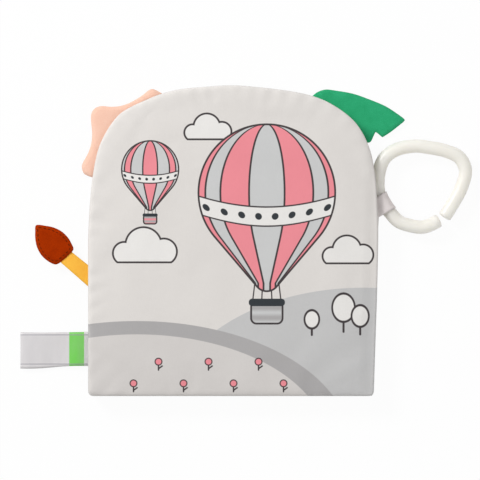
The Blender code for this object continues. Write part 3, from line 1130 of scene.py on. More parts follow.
def smooth_line(knots: np.ndarray, steps: int, closed: bool = False) -> np.ndarray:
    """Points on a smooth curve through knots.

    Args:
        knots: The knots, one a row.
        steps: Points for each stretch between knots.
        closed: Whether the last knot runs on to the first.

    Returns:
        The points, one a row.
    """
    if closed:
        guides = np.vstack([knots[-1], knots, knots[:2]])
    else:
        guides = np.vstack([2 * knots[0] - knots[1], knots, 2 * knots[-1] - knots[-2]])
    share = (np.arange(steps) / steps)[:, None]
    stretches = []
    for a, b, c, d in zip(guides, guides[1:], guides[2:], guides[3:]):
        first = (c - a) * share
        second = (2 * a - 5 * b + 4 * c - d) * share**2
        third = (3 * b - a - 3 * c + d) * share**3
        stretches.append(b + (first + second + third) / 2)
    if not closed:
        stretches.append(knots[-1:])
    return np.vstack(stretches)


def lengths_along(points: np.ndarray) -> np.ndarray:
    """The length of a line up to each of its points."""
    steps = np.linalg.norm(np.diff(points, axis=0), axis=1)
    return np.concatenate([[0.0], np.cumsum(steps)])


def resample(points: np.ndarray, shares: np.ndarray) -> np.ndarray:
    """Points at given shares of a line's length.

    Args:
        points: The line.
        shares: The shares, from 0 to 1.

    Returns:
        The points, one a row.
    """
    along = lengths_along(points)
    columns = [np.interp(shares * along[-1], along, points[:, i]) for i in range(points.shape[1])]
    return np.stack(columns, axis=1)


def distance_in(points: np.ndarray, outline: np.ndarray) -> np.ndarray:
    """How far each point is from a closed outline.

    Args:
        points: The points, in the last axis.
        outline: The outline's corners, one a row.

    Returns:
        One distance for each point.
    """
    flat = points.reshape(-1, 2)
    best = np.full(len(flat), np.inf)
    for a, b in zip(outline, np.roll(outline, -1, axis=0)):
        run = b - a
        share = np.clip(((flat - a) @ run) / max(run @ run, TINY), 0, 1)
        best = np.minimum(best, np.linalg.norm(flat - a - share[:, None] * run, axis=1))
    return best.reshape(points.shape[:-1])


def enclosed(outline: np.ndarray) -> float:
    """The area inside an outline, above 0 where it runs anticlockwise."""
    x, y = outline[:, 0], outline[:, 1]
    return float(x @ np.roll(y, -1) - y @ np.roll(x, -1)) / 2


def declare_cut(
    outline: np.ndarray
) -> None:
    """Works out the sides of the smallest box round a sheet's outline, and keeps nothing of it.

    Args:
        outline: The outline that it was cut to.
    """
    best = None
    for turn in np.radians(np.arange(0, 90, 3)):
        ways = np.array([(math.cos(turn), math.sin(turn)), (-math.sin(turn), math.cos(turn))])
        size = np.ptp(outline @ ways.T, axis=0)
        if best is None or size.prod() < best.prod():
            best = size


def sheet_mesh(grid: np.ndarray, name: str) -> bpy.types.Mesh:
    """A mesh of quads from a grid of places, rows of columns of points.

    Args:
        grid: The places, in rows of columns.
        name: The mesh's name.

    Returns:
        The new mesh.
    """
    rows, columns = grid.shape[:2]
    index = np.arange(rows * columns).reshape(rows, columns)
    corners = [index[:-1, :-1], index[:-1, 1:], index[1:, 1:], index[1:, :-1]]
    faces = np.stack(corners, axis=-1).reshape(-1, 4)
    mesh = bpy.data.meshes.new(name)
    mesh.from_pydata(grid.reshape(-1, 3).tolist(), [], faces.tolist())
    return mesh


def thicken(piece: bpy.types.Object, thickness: float, offset: float) -> None:
    """Gives a sheet its thickness and makes that part of its mesh.

    Args:
        piece: The sheet.
        thickness: Its thickness.
        offset: -1 to thicken it inwards, and 0 to both sides.
    """
    wall = piece.modifiers.new("wall", "SOLIDIFY")
    wall.thickness = thickness
    wall.offset = offset
    wall.use_even_offset = False
    apply_modifiers(piece)


def clean(mesh: bpy.types.Mesh, *others: bpy.types.Mesh) -> None:
    """Takes up other meshes, merges doubled vertices and turns all faces outwards.

    Args:
        mesh: The mesh.
        *others: The others, which are used up.
    """
    bm = bmesh.new()
    for part in (mesh, *others):
        bm.from_mesh(part)
    bmesh.ops.remove_doubles(bm, verts=bm.verts, dist=0.002 * MM)
    bmesh.ops.recalc_face_normals(bm, faces=bm.faces)
    bm.to_mesh(mesh)
    bm.free()
    for part in others:
        bpy.data.meshes.remove(part)


def finished_mesh(bm: bmesh.types.BMesh, name: str) -> bpy.types.Mesh:
    """Makes a mesh of what was built up, and lets the workshop go.

    Args:
        bm: What was built up.
        name: The mesh's name.

    Returns:
        The new mesh.
    """
    mesh = bpy.data.meshes.new(name)
    bm.to_mesh(mesh)
    bm.free()
    return mesh


def ringed_mesh(name: str, rings: Sequence[Sequence[Vector]]) -> bpy.types.Mesh:
    """A closed mesh of rings, each joined to the next.

    Args:
        name: The mesh's name.
        rings: The rings in order, with as many places each.

    Returns:
        The new mesh.
    """
    bm = bmesh.new()
    loops = [[bm.verts.new(place) for place in ring] for ring in rings]
    for ring, following in zip(loops, loops[1:]):
        for k in range(len(ring)):
            bm.faces.new((ring[k - 1], ring[k], following[k], following[k - 1]))
    bm.faces.new(loops[0])
    bm.faces.new(loops[-1])
    bmesh.ops.recalc_face_normals(bm, faces=bm.faces)
    return finished_mesh(bm, name)


def rim_of(grid: np.ndarray) -> np.ndarray:
    """Marks the outermost rows and columns of a grid.

    Args:
        grid: The grid.

    Returns:
        A grid that is true at its rim.
    """
    rim = np.zeros(grid.shape[:2], bool)
    rim[[0, -1]] = True
    rim[:, [0, -1]] = True
    return rim


def noise_grid(flat: np.ndarray, z: float, scale: float) -> np.ndarray:
    """Soft noise at each place of a grid, at one height and with so many waves in a metre."""
    return np.array([[noise.noise(Vector((*p, z)) * scale) for p in row] for row in flat])


def eased(share: np.ndarray) -> np.ndarray:
    """Turns a share from 0 to 1 into one that rises fast at first and then ever slower."""
    return share * (2 - share)


def triangles_in(outline: np.ndarray, spacing: float) -> tuple[list[Vector], list[list[int]]]:
    """Fills an outline with nearly even triangles.

    Args:
        outline: The outline, anticlockwise.
        spacing: The distance between inner corners.

    Returns:
        The corners, and the triangles as numbers of corners.
    """
    row_share, clear_share, merge = 0.866, 0.55, 1e-7
    low, high = outline.min(axis=0), outline.max(axis=0)
    inner = []
    for step, y in enumerate(np.arange(low[1] + spacing, high[1], spacing * row_share)):
        start = low[0] + spacing * (0.5 if step % 2 else 1.0)
        inner.extend((x, y) for x in np.arange(start, high[0], spacing))
    inner = np.array(inner).reshape(-1, 2)
    inner = inner[distance_in(inner, outline) > spacing * clear_share]
    corners = [Vector(p) for p in np.vstack([outline, inner])]
    count = len(outline)
    edges = [(i, (i + 1) % count) for i in range(count)]
    filled = geometry.delaunay_2d_cdt(corners, edges, [list(range(count))], 1, merge)
    return filled[0], filled[2]


def slab(
    name: str,
    outline: np.ndarray,
    thickness: float,
    level: Callable[[float, float, float], float],
    spacing: float,
    material: bpy.types.Material,
    softness: float = 0.45,
) -> bpy.types.Object:
    """A flat piece of cloth or felt with soft edges.

    Args:
        name: The piece's name.
        outline: Its outline, anticlockwise.
        thickness: How thick it is in the middle.
        level: The height of its middle plane at a place and a distance in from its edge.
        spacing: The distance between its inner vertices.
        material: What it is made of.
        softness: How much thinner its edge is, as a share.

    Returns:
        The new object.
    """
    rounding, bulge = thickness * 0.6, thickness * 0.1
    places, faces = triangles_in(outline, spacing)
    depth = distance_in(np.array([tuple(p) for p in places]), outline)
    used = sorted({i for face in faces for i in face})
    bm = bmesh.new()
    layers: list[dict[int, bmesh.types.BMVert]] = []
    for side in (1, -1):
        layer = {}
        for i in used:
            fullness = 1 - softness * (1 - min(depth[i] / rounding, 1)) ** 2
            z = level(places[i].x, places[i].y, depth[i]) + side * fullness * thickness / 2
            layer[i] = bm.verts.new((places[i].x, places[i].y, z))
        layers.append(layer)
    top, bottom = layers
    for face in faces:
        bm.faces.new([top[i] for i in face])
        bm.faces.new([bottom[i] for i in reversed(face)])
    edges = [tuple(sorted((face[k], face[k - 1]))) for face in faces for k in range(len(face))]
    uses = Counter(edges)
    middles = {}
    for a, b in (edge for edge in set(edges) if uses[edge] == 1):
        for i in (a, b):
            if i not in middles:
                middles[i] = bm.verts.new((top[i].co + bottom[i].co) / 2)
        bm.faces.new((top[a], top[b], middles[b], middles[a]))
        bm.faces.new((middles[a], middles[b], bottom[b], bottom[a]))
    bmesh.ops.recalc_face_normals(bm, faces=bm.faces)
    for vert in middles.values():
        vert.normal_update()
        vert.co += Vector((vert.normal.x, vert.normal.y, 0)) * bulge
    return make_piece(name, finished_mesh(bm, name), material)


# The rings of a tube's domed end: how far out and how wide, as shares of the radius
DOME_RINGS = ((0.13, 0.84), (0.2, 0.55))


def tube(
    name: str,
    path: np.ndarray,
    radius: Callable[[float, float], float],
    sides: int,
    material: bpy.types.Material,
) -> bpy.types.Object:
    """A closed tube along a path, with domed ends.

    Args:
        name: The piece's name.
        path: The middle line, one point a row.
        radius: The radius at a share of the length and an angle from the horizontal.
        sides: Vertices round it.
        material: What it is made of.

    Returns:
        The new object.
    """
    along = lengths_along(path) / lengths_along(path)[-1]
    directions = np.gradient(path, axis=0)
    directions /= np.linalg.norm(directions, axis=1)[:, None]
    base = radius(0.5, 1.0)
    stations = [(path[0], directions[0], 0.0, -out, size) for out, size in reversed(DOME_RINGS)]
    stations += [(p, d, s, 0.0, 1.0) for p, d, s in zip(path, directions, along)]
    stations += [(path[-1], directions[-1], 1.0, out, size) for out, size in DOME_RINGS]
    rings = []
    for place, direction, share, out, size in stations:
        ahead = Vector(direction)
        side = ahead.cross(Vector((0, 0, 1))).normalized()
        up = side.cross(ahead)
        middle = Vector(place) + ahead * out * base
        ring = []
        for step in range(sides):
            turn = 2 * math.pi * step / sides
            reach = radius(share, turn) * size
            ring.append(middle + (side * math.cos(turn) + up * math.sin(turn)) * reach)
        rings.append(ring)
    return make_piece(name, ringed_mesh(name, rings), material)


class Side(IntEnum):
    """A side of a leaf or of the tuft, numbered by the way it faces."""

    FRONT = 1
    BACK = -1

    @property
    def label(self) -> str:
        """The side in the names of pieces."""
        return self.name.lower()


@dataclass
class LeafShape:
    """The outline of a leaf and the grid of places inside it."""

    knots: np.ndarray
    corner: float = 3.0 * MM
    columns: int = 70
    rows: int = 74
    dome_steps: int = 10
    bottom_points: int = 60
    corner_points: int = 9
    clear_points: int = 20
    outline: np.ndarray = field(init=False)
    flat: np.ndarray = field(init=False)
    depth: np.ndarray = field(init=False)

    def __post_init__(self) -> None:
        """Works out the outline and its grid."""
        self.outline, bounds = self.trace()
        self.flat = self.fill(bounds)
        self.depth = distance_in(self.flat, self.outline)

    def trace(self) -> tuple[np.ndarray, list[int]]:
        """Traces the outline anticlockwise from the lower left corner.

        Returns:
            The outline and the numbers of its four corner points.
        """
        dome = smooth_line(self.knots, self.dome_steps)
        low = dome[:, 1].min()
        left = np.array((dome[-1, 0] + self.corner, low))
        right = np.array((dome[0, 0] - self.corner, low))
        bottom_left = self.round_corner(left, 180)
        bottom_right = self.round_corner(right, 270)
        flat_bottom = np.linspace(bottom_left[-1], bottom_right[0], self.bottom_points)[1:-1]
        half = len(bottom_left) // 2
        line = np.vstack([bottom_left[half:], flat_bottom, bottom_right, dome, bottom_left[:half]])
        start_right = len(bottom_left) - half + len(flat_bottom) + len(bottom_right) // 2
        upper = np.arange(start_right + self.clear_points, len(line) - half)
        lean = line[:, 0] + line[:, 1]
        top_right = int(upper[np.argmax(lean[upper])])
        lean = line[:, 1] - line[:, 0]
        top_left = int(upper[np.argmax(lean[upper])])
        return line, [0, start_right, top_right, top_left]

    def round_corner(self, middle: np.ndarray, start_deg: float) -> np.ndarray:
        """Points on a quarter circle."""
        turns = np.radians(np.linspace(start_deg, start_deg + 90, self.corner_points))
        return middle + self.corner * np.stack([np.cos(turns), np.sin(turns)], axis=1)

    def fill(self, bounds: list[int]) -> np.ndarray:
        """Fills the outline with a grid of rows of columns of places.

        Args:
            bounds: The numbers of the outline's four corner points.

        Returns:
            The grid.
        """
        _, b, c, d = bounds
        closed = np.vstack([self.outline, self.outline[:1]])
        across, up = self.stations(self.columns), self.stations(self.rows)
        bottom = resample(closed[: b + 1], across)
        right = resample(closed[b : c + 1], up)
        top = resample(closed[c : d + 1][::-1], across)
        left = resample(closed[d:][::-1], up)
        u, v = across[None, :, None], up[:, None, None]
        between_rows = (1 - v) * bottom[None] + v * top[None]
        between_columns = (1 - u) * left[:, None] + u * right[:, None]
        left_corners = (1 - v) * bottom[0] + v * top[0]
        right_corners = (1 - v) * bottom[-1] + v * top[-1]
        return between_rows + between_columns - ((1 - u) * left_corners + u * right_corners)

    @staticmethod
    def stations(count: int) -> np.ndarray:
        """Shares from 0 to 1 that lie closer together near both ends.

        Args:
            count: How many there are.

        Returns:
            The shares.
        """
        edge = np.array([0.0, 0.0035, 0.0095, 0.019, 0.033])
        middle = np.linspace(0.052, 0.948, count - 2 * len(edge))
        return np.concatenate([edge, middle, 1 - edge[::-1]])


# Outlines in millimetres: the dome to the left, and the right sides of the cover and the rest
DOME_KNOTS = (
    (-15.9, 92.7), (-31.5, 91.2), (-42.9, 88.5), (-51.9, 85.0), (-61.5, 80.6), (-68.1, 76.4),
    (-73.5, 70.2), (-78.0, 62.7), (-81.4, 54.4), (-84.0, 42.7), (-85.6, 30.0), (-86.6, 16.8),
    (-87.2, 4.0), (-87.3, -9.4), (-87.3, -35.0), (-87.3, -62.0), (-87.3, -90.1),
)
COVER_RIGHT_KNOTS = (
    (84.3, -90.1), (84.9, -71.4), (85.5, -53.0), (86.1, -35.4), (86.7, -10.8), (86.9, 6.6),
    (86.4, 20.4), (85.6, 34.2), (84.0, 46.4), (81.9, 54.9), (78.4, 63.3), (73.4, 70.9),
    (66.3, 77.4), (56.7, 83.4), (47.7, 87.0), (38.0, 89.3), (27.0, 91.0), (15.9, 92.3),
    (0.0, 93.5),
)
INNER_RIGHT_KNOTS = (
    (79.0, -90.1), (79.6, -71.4), (80.1, -53.0), (80.65, -35.4), (81.4, -10.8), (81.9, 6.6),
    (82.35, 22.0), (82.8, 38.0), (82.7, 44.0), (81.6, 52.0), (78.2, 63.6), (73.4, 70.6),
    (66.2, 77.2), (55.0, 84.2), (44.0, 88.0), (31.4, 90.0), (15.0, 92.2), (-0.5, 93.5),
)


@dataclass
class CrumpleField:
    """Small wrinkles of a leaf's two faces, found once by letting its cloth settle."""

    front: np.ndarray
    back: np.ndarray

    # How much larger than life the case is, and how many frames it settles for
    SCALE = 10.0
    FRAMES = 20
    # How the cloth of the case behaves
    CLOTH = {
        "quality": 5,
        "mass": 0.25,
        "tension_stiffness": 40,
        "compression_stiffness": 40,
        "shear_stiffness": 15,
        "bending_stiffness": 2.5,
        "shrink_min": -0.03,
        "use_pressure": True,
        "uniform_pressure_force": 0.15,
    }
    # How uneven the case is at first
    UNEVEN = 0.2 * MM
    # How often a face is smoothed to find its broad bulge
    SMOOTHINGS = 40
    # How many hundredths of a face are lower than what counts as a full wrinkle
    FULL = 92

    @classmethod
    def settle(cls, shape: LeafShape) -> "CrumpleField":
        """Lets a slightly roomy case of cloth settle round its seam, and keeps its wrinkles.

        Args:
            shape: The leaf that the case is made for.

        Returns:
            The wrinkles' heights on the grid of each face.
        """
        case, seam = cls.sew_case(shape)
        before = cls.places(case.data)
        cloth = case.modifiers.new("cloth", "CLOTH")
        cloth.point_cache.frame_start = 1
        cloth.point_cache.frame_end = cls.FRAMES
        for name, value in cls.CLOTH.items():
            setattr(cloth.settings, name, value)
        cloth.settings.vertex_group_mass = seam.name
        cloth.settings.effector_weights.gravity = 0
        cloth.collision_settings.use_collision = False
        scene = bpy.context.scene
        for step in range(1, cls.FRAMES + 1):
            scene.frame_set(step)
        graph = bpy.context.evaluated_depsgraph_get()
        settled = cls.places(case.evaluated_get(graph).data)
        case.modifiers.clear()
        scene.frame_set(1)
        lift = (settled - before)[:, 2] / cls.SCALE
        bpy.data.objects.remove(case)
        faces = lift.reshape(2, shape.rows, shape.columns)
        return cls(*(cls.finer(face) for face in faces))

    @staticmethod
    def places(mesh: bpy.types.Mesh) -> np.ndarray:
        """A mesh's places, one vertex a row."""
        return np.array([vertex.co for vertex in mesh.vertices], np.float32)

    @classmethod
    def sew_case(cls, shape: LeafShape) -> tuple[bpy.types.Object, bpy.types.VertexGroup]:
        """Makes the case: two faces that share a fixed seam.

        Args:
            shape: The leaf.

        Returns:
            The case, and the group of its fixed vertices.
        """
        rise = crown(shape.depth)
        ripple = noise_grid(shape.flat, z=0, scale=90)
        inside = shape.depth > 0
        front = np.dstack([shape.flat, rise + ripple * cls.UNEVEN * inside])
        back = np.dstack([shape.flat, -rise + ripple[::-1] * cls.UNEVEN * inside])
        index = np.arange(inside.size).reshape(inside.shape)
        rim = rim_of(index)
        under = np.where(rim, index, index + index.size)
        faces = []
        for grid, step in ((index, 1), (under, -1)):
            corners = [grid[:-1, :-1], grid[:-1, 1:], grid[1:, 1:], grid[1:, :-1]][::step]
            faces.append(np.stack(corners, axis=-1).reshape(-1, 4))
        mesh = bpy.data.meshes.new("case")
        points = np.vstack([front.reshape(-1, 3), back.reshape(-1, 3)]) * cls.SCALE
        mesh.from_pydata(points.tolist(), [], np.vstack(faces).tolist())
        case = bpy.data.objects.new("case", mesh)
        bpy.context.scene.collection.objects.link(case)
        seam = case.vertex_groups.new(name="seam")
        seam.add(index[rim].tolist(), 1.0, "REPLACE")
        seam.add((index[rim] + index.size).tolist(), 1.0, "REPLACE")
        return case, seam

    @classmethod
    def finer(cls, lift: np.ndarray) -> np.ndarray:
        """Keeps the small wrinkles of a face and takes its broad bulge away.

        Args:
            lift: How far the face's cloth moved up.

        Returns:
            Its wrinkles, from -1 to 1.
        """
        broad = lift
        for _ in range(cls.SMOOTHINGS):
            padded = np.pad(broad, 1, mode="edge")
            below, above = padded[:-2, 1:-1], padded[2:, 1:-1]
            broad = (below + above + padded[1:-1, :-2] + padded[1:-1, 2:]) / 4
        small = lift - broad
        small[rim_of(small)] = 0
        full = max(float(np.percentile(np.abs(small), cls.FULL)), TINY)
        return np.tanh(small / full)

    @classmethod
    def plain(cls, shape: LeafShape) -> "CrumpleField":
        none = np.zeros((shape.rows, shape.columns))
        return cls(none, none)

    def fitted(self, shape: LeafShape) -> "CrumpleField":
        """The same wrinkles on the grid of another leaf.

        Args:
            shape: The other leaf.

        Returns:
            The wrinkles.
        """
        new_across, new_up = shape.stations(shape.columns), shape.stations(shape.rows)
        faces = []
        for face in (self.front, self.back):
            rows, columns = face.shape
            across, up = shape.stations(columns), shape.stations(rows)
            wide = np.array([np.interp(new_across, across, row) for row in face])
            tall = [np.interp(new_up, up, column) for column in wide.T]
            faces.append(np.array(tall).T)
        return CrumpleField(*faces)

    def turned(self, step: int) -> "CrumpleField":
        """The same wrinkles placed another way, so that no two leaves look alike.

        Args:
            step: How many leaves below the cover they are for.

        Returns:
            The wrinkles.
        """
        ways = (slice(None, None, -1 if step & 1 else 1), slice(None, None, -1 if step & 2 else 1))
        pair = (self.back, self.front) if step > 1 else (self.front, self.back)
        return CrumpleField(pair[0][ways], pair[1][ways])


# How a padded leaf rises from its seam: steeply at its rim, and then broadly
RIM_WIDTH = 2.6 * MM
RIM_RISE = 1.38 * MM
BROAD_WIDTH = 26 * MM
BROAD_RISE = 0.3 * MM


def crown(depth: np.ndarray) -> np.ndarray:
    """Half the thickness of a padded leaf at a distance in from its edge."""
    rim = np.sqrt(np.clip(1 - (1 - np.clip(depth / RIM_WIDTH, 0, 1)) ** 2, 0, 1))
    return RIM_RISE * rim + BROAD_RISE * eased(np.clip(depth / BROAD_WIDTH, 0, 1))


@dataclass
class PaddedLeaf:
    """One leaf of the book: printed cloth in front and behind, with film and wadding between."""

    name: str
    body: str
    seam_z: float
    shape: LeafShape
    core: LeafShape
    wrinkles: CrumpleField
    front: Page
    back: Page
    is_cover: bool = False
    wrinkle_height: float = 0.3 * MM
    wrinkle_start: float = 3 * MM
    swell_height: float = 0.5 * MM
    swell_width: float = 22 * MM
    pucker_height: float = 0.42 * MM
    pucker_length: float = 9.5 * MM
    pucker_drift: float = 31 * MM
    pucker_change: float = 17 * MM
    seam_radius: float = 88 * MM
    pucker_start: float = 1.2 * MM
    pucker_reach: float = 5 * MM
    spine_edge_x: float = 81.4 * MM
    spine_lean: float = 0.0297
    spine_slope: float = 4.2 * MM
    over_spine: float = 0.85 * MM
    cloth: float = 0.35 * MM
    film: float = 0.08 * MM
    film_inset: float = 4.2 * MM
    film_drop: float = 0.85 * MM
    film_crease: float = 0.09 * MM
    pad_inset: float = 4.6 * MM
    pad_tuft: float = 0.1 * MM
    pad_drops: tuple[float, float] = (1.0 * MM, 0.55 * MM)

    def build(self) -> None:
        """Builds and dresses the leaf's four plies."""
        for side, page in zip(Side, (self.front, self.back)):
            self.build_cloth(side, page)
        self.build_film()
        self.build_wadding()

    def surface(self, side: Side) -> np.ndarray:
        """The outer face of one side, as a grid of places.

        Args:
            side: The side.

        Returns:
            The grid.
        """
        shape = self.shape
        small = self.wrinkles.front if side is Side.FRONT else self.wrinkles.back
        calm = np.clip(shape.depth / self.wrinkle_start, 0, 1)
        rise = crown(shape.depth) + small * self.wrinkle_height * calm
        rise = rise + self.puckers(side) * self.pucker_height
        if self.is_cover and side is Side.FRONT:
            rise = rise + self.swell() * self.swell_height
        else:
            rise = np.minimum(rise, HALF_LEAF)
        level = side * np.maximum(rise, 0) + side * SEAM_GAP
        level = np.maximum(level, TABLE_GAP - self.seam_z)
        if self.is_cover:
            level = self.ease_over_spine(level)
        return np.dstack([shape.flat, self.seam_z + level])

    def swell(self) -> np.ndarray:
        """Broad soft rises of the cover, which nothing presses flat."""
        broad = np.clip(self.shape.depth / self.swell_width, 0, 1)
        return eased(broad) * (1 + 0.9 * noise_grid(self.shape.flat, z=0.3, scale=24))

    def puckers(self, side: Side) -> np.ndarray:
        """Short waves across the seam, which fade inwards.

        Args:
            side: The side.

        Returns:
            Their heights, from -1 to 1.
        """
        shape = self.shape
        x, y = shape.flat[..., 0], shape.flat[..., 1]
        along = np.arctan2(y, x * 1.05) * self.seam_radius
        drift = 1.7 * np.sin(along / self.pucker_drift + side) + self.seam_z * 900
        waves = np.sin(2 * math.pi * along / self.pucker_length + drift)
        strength = 0.6 + 0.4 * np.sin(along / self.pucker_change + 2 * drift)
        fade = np.exp(-shape.depth / self.pucker_reach)
        return waves * strength * fade * np.clip(shape.depth / self.pucker_start, 0, 1)

    def ease_over_spine(self, level: np.ndarray) -> np.ndarray:
        """Keeps the part of the cover that lies on the spine thin.

        Args:
            level: The cloth's heights over the seam.

        Returns:
            The eased heights.
        """
        x, y = self.shape.flat[..., 0], self.shape.flat[..., 1]
        past = (x - (self.spine_edge_x + self.spine_lean * y)) / self.spine_slope
        share = np.clip(past + 0.5, 0, 1)
        share = share * share * (3 - 2 * share)
        return level * (1 - share) + np.clip(level, -SEAM_GAP, self.over_spine) * share

    def build_cloth(self, side: Side, page: Page) -> None:
        """Builds the printed cloth of one side.

        Args:
            side: The side.
            page: What is printed on it.
        """
        name = f"{self.name}_{side.label}_cloth"
        grid, depth = self.surface(side)[:, ::side], self.shape.depth[:, ::side]
        mesh = sheet_mesh(grid, name)
        rim = mesh.attributes.new(RIM, "FLOAT", "POINT")
        rim.data.foreach_set("value", (depth / MM).ravel().astype(np.float32))
        cloth = make_piece(name, mesh, PrintedCloth(page).material(f"{name}_print"))
        thicken(cloth, self.cloth, -1)
        seat(cloth, self.body, f"{self.name}_{side.label}_fabric")

    def inner(self, inset: float, step: int) -> tuple[np.ndarray, np.ndarray]:
        """A coarser grid that is drawn in from the seam, with its distances from the edge.

        Args:
            inset: How far in from the edge.
            step: How many times coarser.

        Returns:
            The grid and the distances.
        """
        flat = self.core.flat[::step, ::step]
        middle = flat.reshape(-1, 2).mean(axis=0)
        size = np.ptp(self.core.outline, axis=0)
        drawn = middle + (flat - middle) * (1 - 2 * inset / size)
        return drawn, distance_in(drawn, self.core.outline)

    def build_film(self) -> None:
        """Builds the crackling film, creased all over."""
        flat, depth = self.inner(self.film_inset, step=3)
        creases = noise_grid(flat, z=self.seam_z, scale=160)
        level = crown(depth) - self.film_drop + creases * self.film_crease
        name = f"{self.name}_film"
        mesh = sheet_mesh(np.dstack([flat, self.seam_z + level]), name)
        film = make_piece(name, mesh, CrinkleFilm().material(f"{name}_clear"))
        thicken(film, self.film, 0)
        seat(film, self.body, f"{self.name}_crinkle_film")
        edge = np.vstack([flat[0, :-1], flat[:-1, -1], flat[-1, :0:-1], flat[:0:-1, 0]])
        declare_cut(edge)

    def build_wadding(self) -> None:
        """Builds the wadding, thick in the middle and thin at its edge."""
        flat, depth = self.inner(self.pad_inset, step=5)
        tufts = np.abs(noise_grid(flat, z=self.seam_z, scale=220)) * self.pad_tuft
        upper = crown(depth) - self.pad_drops[0] - tufts
        lower = self.pad_drops[1] - crown(depth) + tufts
        rim = rim_of(flat)
        upper = np.where(rim, (upper + lower) / 2, upper)
        lower = np.where(rim, upper, lower)
        name = f"{self.name}_padding"
        mesh = sheet_mesh(np.dstack([flat, self.seam_z + upper]), name)
        clean(mesh, sheet_mesh(np.dstack([flat, self.seam_z + lower])[:, ::-1], f"{name}_under"))
        pad = make_piece(name, mesh, Wadding().material(f"{name}_fibre"))
        seat(pad, self.body, f"{self.name}_wadding")


@dataclass
class Spine:
    """The bound spine: soft cloth folded round the leaves' edges, hollow where the cover turns."""

    axis_z: float
    leaf_step: float
    low: float = 0.4 * MM
    high: float = 12.0 * MM
    width: float = 4.9 * MM
    hollow: float = 2.8 * MM
    middle: float = 84.5 * MM
    lean: float = 0.02968
    start_y: float = -93.0 * MM
    end_y: float = 18.6 * MM
    end_length: float = 1.6 * MM
    end_share: float = 0.35
    groove: float = 0.3 * MM
    wave: float = 0.2 * MM
    squareness: float = 0.55
    count: int = 90
    sides: int = 48

    def middle_x(self, y: float) -> float:
        """Where the spine's middle is, at a height on the cover."""
        return self.middle + self.lean * y

    def build(self) -> None:
        """Builds the spine's cloth."""
        rings = []
        length = self.end_y - self.start_y
        for step in range(self.count + 1):
            share = step / self.count
            y = self.start_y + length * share
            near_end = 1 - min(1, min(share, 1 - share) * length / self.end_length)
            ease = 1 - self.end_share * near_end**2
            rings.append([self.profile(y, k / self.sides, ease) for k in range(self.sides)])
        mesh = ringed_mesh("spine_cloth", rings)
        cloth = make_piece("spine_cloth", mesh, SpineCloth().material("spine_cloth_weave"))
        seat(cloth, "book_back", "spine_binding")

    def profile(self, y: float, share: float, ease: float) -> Vector:
        """A point on the spine's rounded section, wavy where the leaves are sewn in.

        Args:
            y: The place along the spine.
            share: The share of the way round.
            ease: How full the section is.

        Returns:
            The point.
        """
        turn = 2 * math.pi * share
        half_high = (self.high - self.low) / 2
        across = math.copysign(abs(math.cos(turn)) ** self.squareness, math.cos(turn))
        up = math.copysign(abs(math.sin(turn)) ** self.squareness, math.sin(turn))
        waves = self.wave * noise.noise(Vector((y * 160, turn * 1.4, up * 2)))
        fold = 0.5 + 0.5 * math.cos(2 * math.pi * up * half_high / self.leaf_step)
        reach = self.width / 2 - self.groove * fold * abs(across) + waves
        off = across * min(reach, self.width / 2) * ease
        z = (self.high + self.low) / 2 + up * half_high * (0.5 + 0.5 * ease)
        floor = self.axis_z - math.sqrt(max(self.hollow**2 - off**2, 0))
        return Vector((self.middle_x(y) + off, y, min(z, floor)))


@dataclass(frozen=True)
class SpineCloth(Finish):
    """The cover's cloth on the spine: its print runs on as plain bands."""

    thread: Colour = seen(176, 172, 168)

    def dress(self, graph: Graph) -> None:
        """Adds the nodes of the spine's cloth.

        Args:
            graph: The material's nodes.
        """
        picture = Picture(graph, Page(Motif.BALLOONS))
        picture.draw_hills()
        threads = graph.noise(1.6, 1.0, (5.0, 0.18, 5.0))
        patches = graph.noise(0.08, 3.0)
        share = (0.2 + threads * 0.3 - patches * 0.1).clamp()
        graph.emboss(threads * 0.04 + graph.noise(0.25, 3.0) * 0.35, 0.7)
        graph.shade(
            base_color=graph.mix(share, picture.colour, self.thread),
            roughness=0.68 + threads * 0.2,
            sheen_weight=0.12,
        )


# Outlines in the photograph's pixels: what shows of each felt piece, and what is sewn in
STAR_OUTLINE = (
    (162.0, 93.4), (153.0, 89.0), (148.0, 90.6), (141.6, 95.7), (131.0, 102.0), (121.0, 105.7),
    (111.0, 106.7), (101.0, 106.0), (94.4, 108.5), (91.2, 113.6), (91.0, 121.0), (92.0, 132.7),
    (91.2, 143.0), (88.0, 153.0), (83.0, 162.0), (81.7, 167.0), (83.6, 173.0), (87.4, 175.4),
    (92.0, 177.0),
)
STAR_INNER = (
    (94.6, 176.0), (95.8, 170.0), (100.4, 149.6), (105.9, 137.6), (113.2, 125.6), (121.8, 115.4),
    (132.6, 108.0), (148.4, 101.0), (162.8, 95.6),
)
SPRIG_OUTLINE = (
    (313.0, 95.3), (318.0, 91.5), (326.0, 89.0), (336.0, 90.0), (353.0, 93.0), (369.0, 98.5),
    (386.0, 105.6), (399.0, 114.0), (404.9, 118.6), (404.6, 120.6), (400.7, 124.0), (392.4, 130.5),
    (384.0, 136.0), (382.4, 135.9), (376.9, 131.5), (375.0, 133.4), (371.7, 140.4), (369.0, 142.0),
    (366.7, 141.0), (364.3, 134.6),
)
SPRIG_INNER = ((361.8, 136.2), (354.4, 124.6), (342.6, 113.8), (326.8, 103.4), (312.2, 97.6))


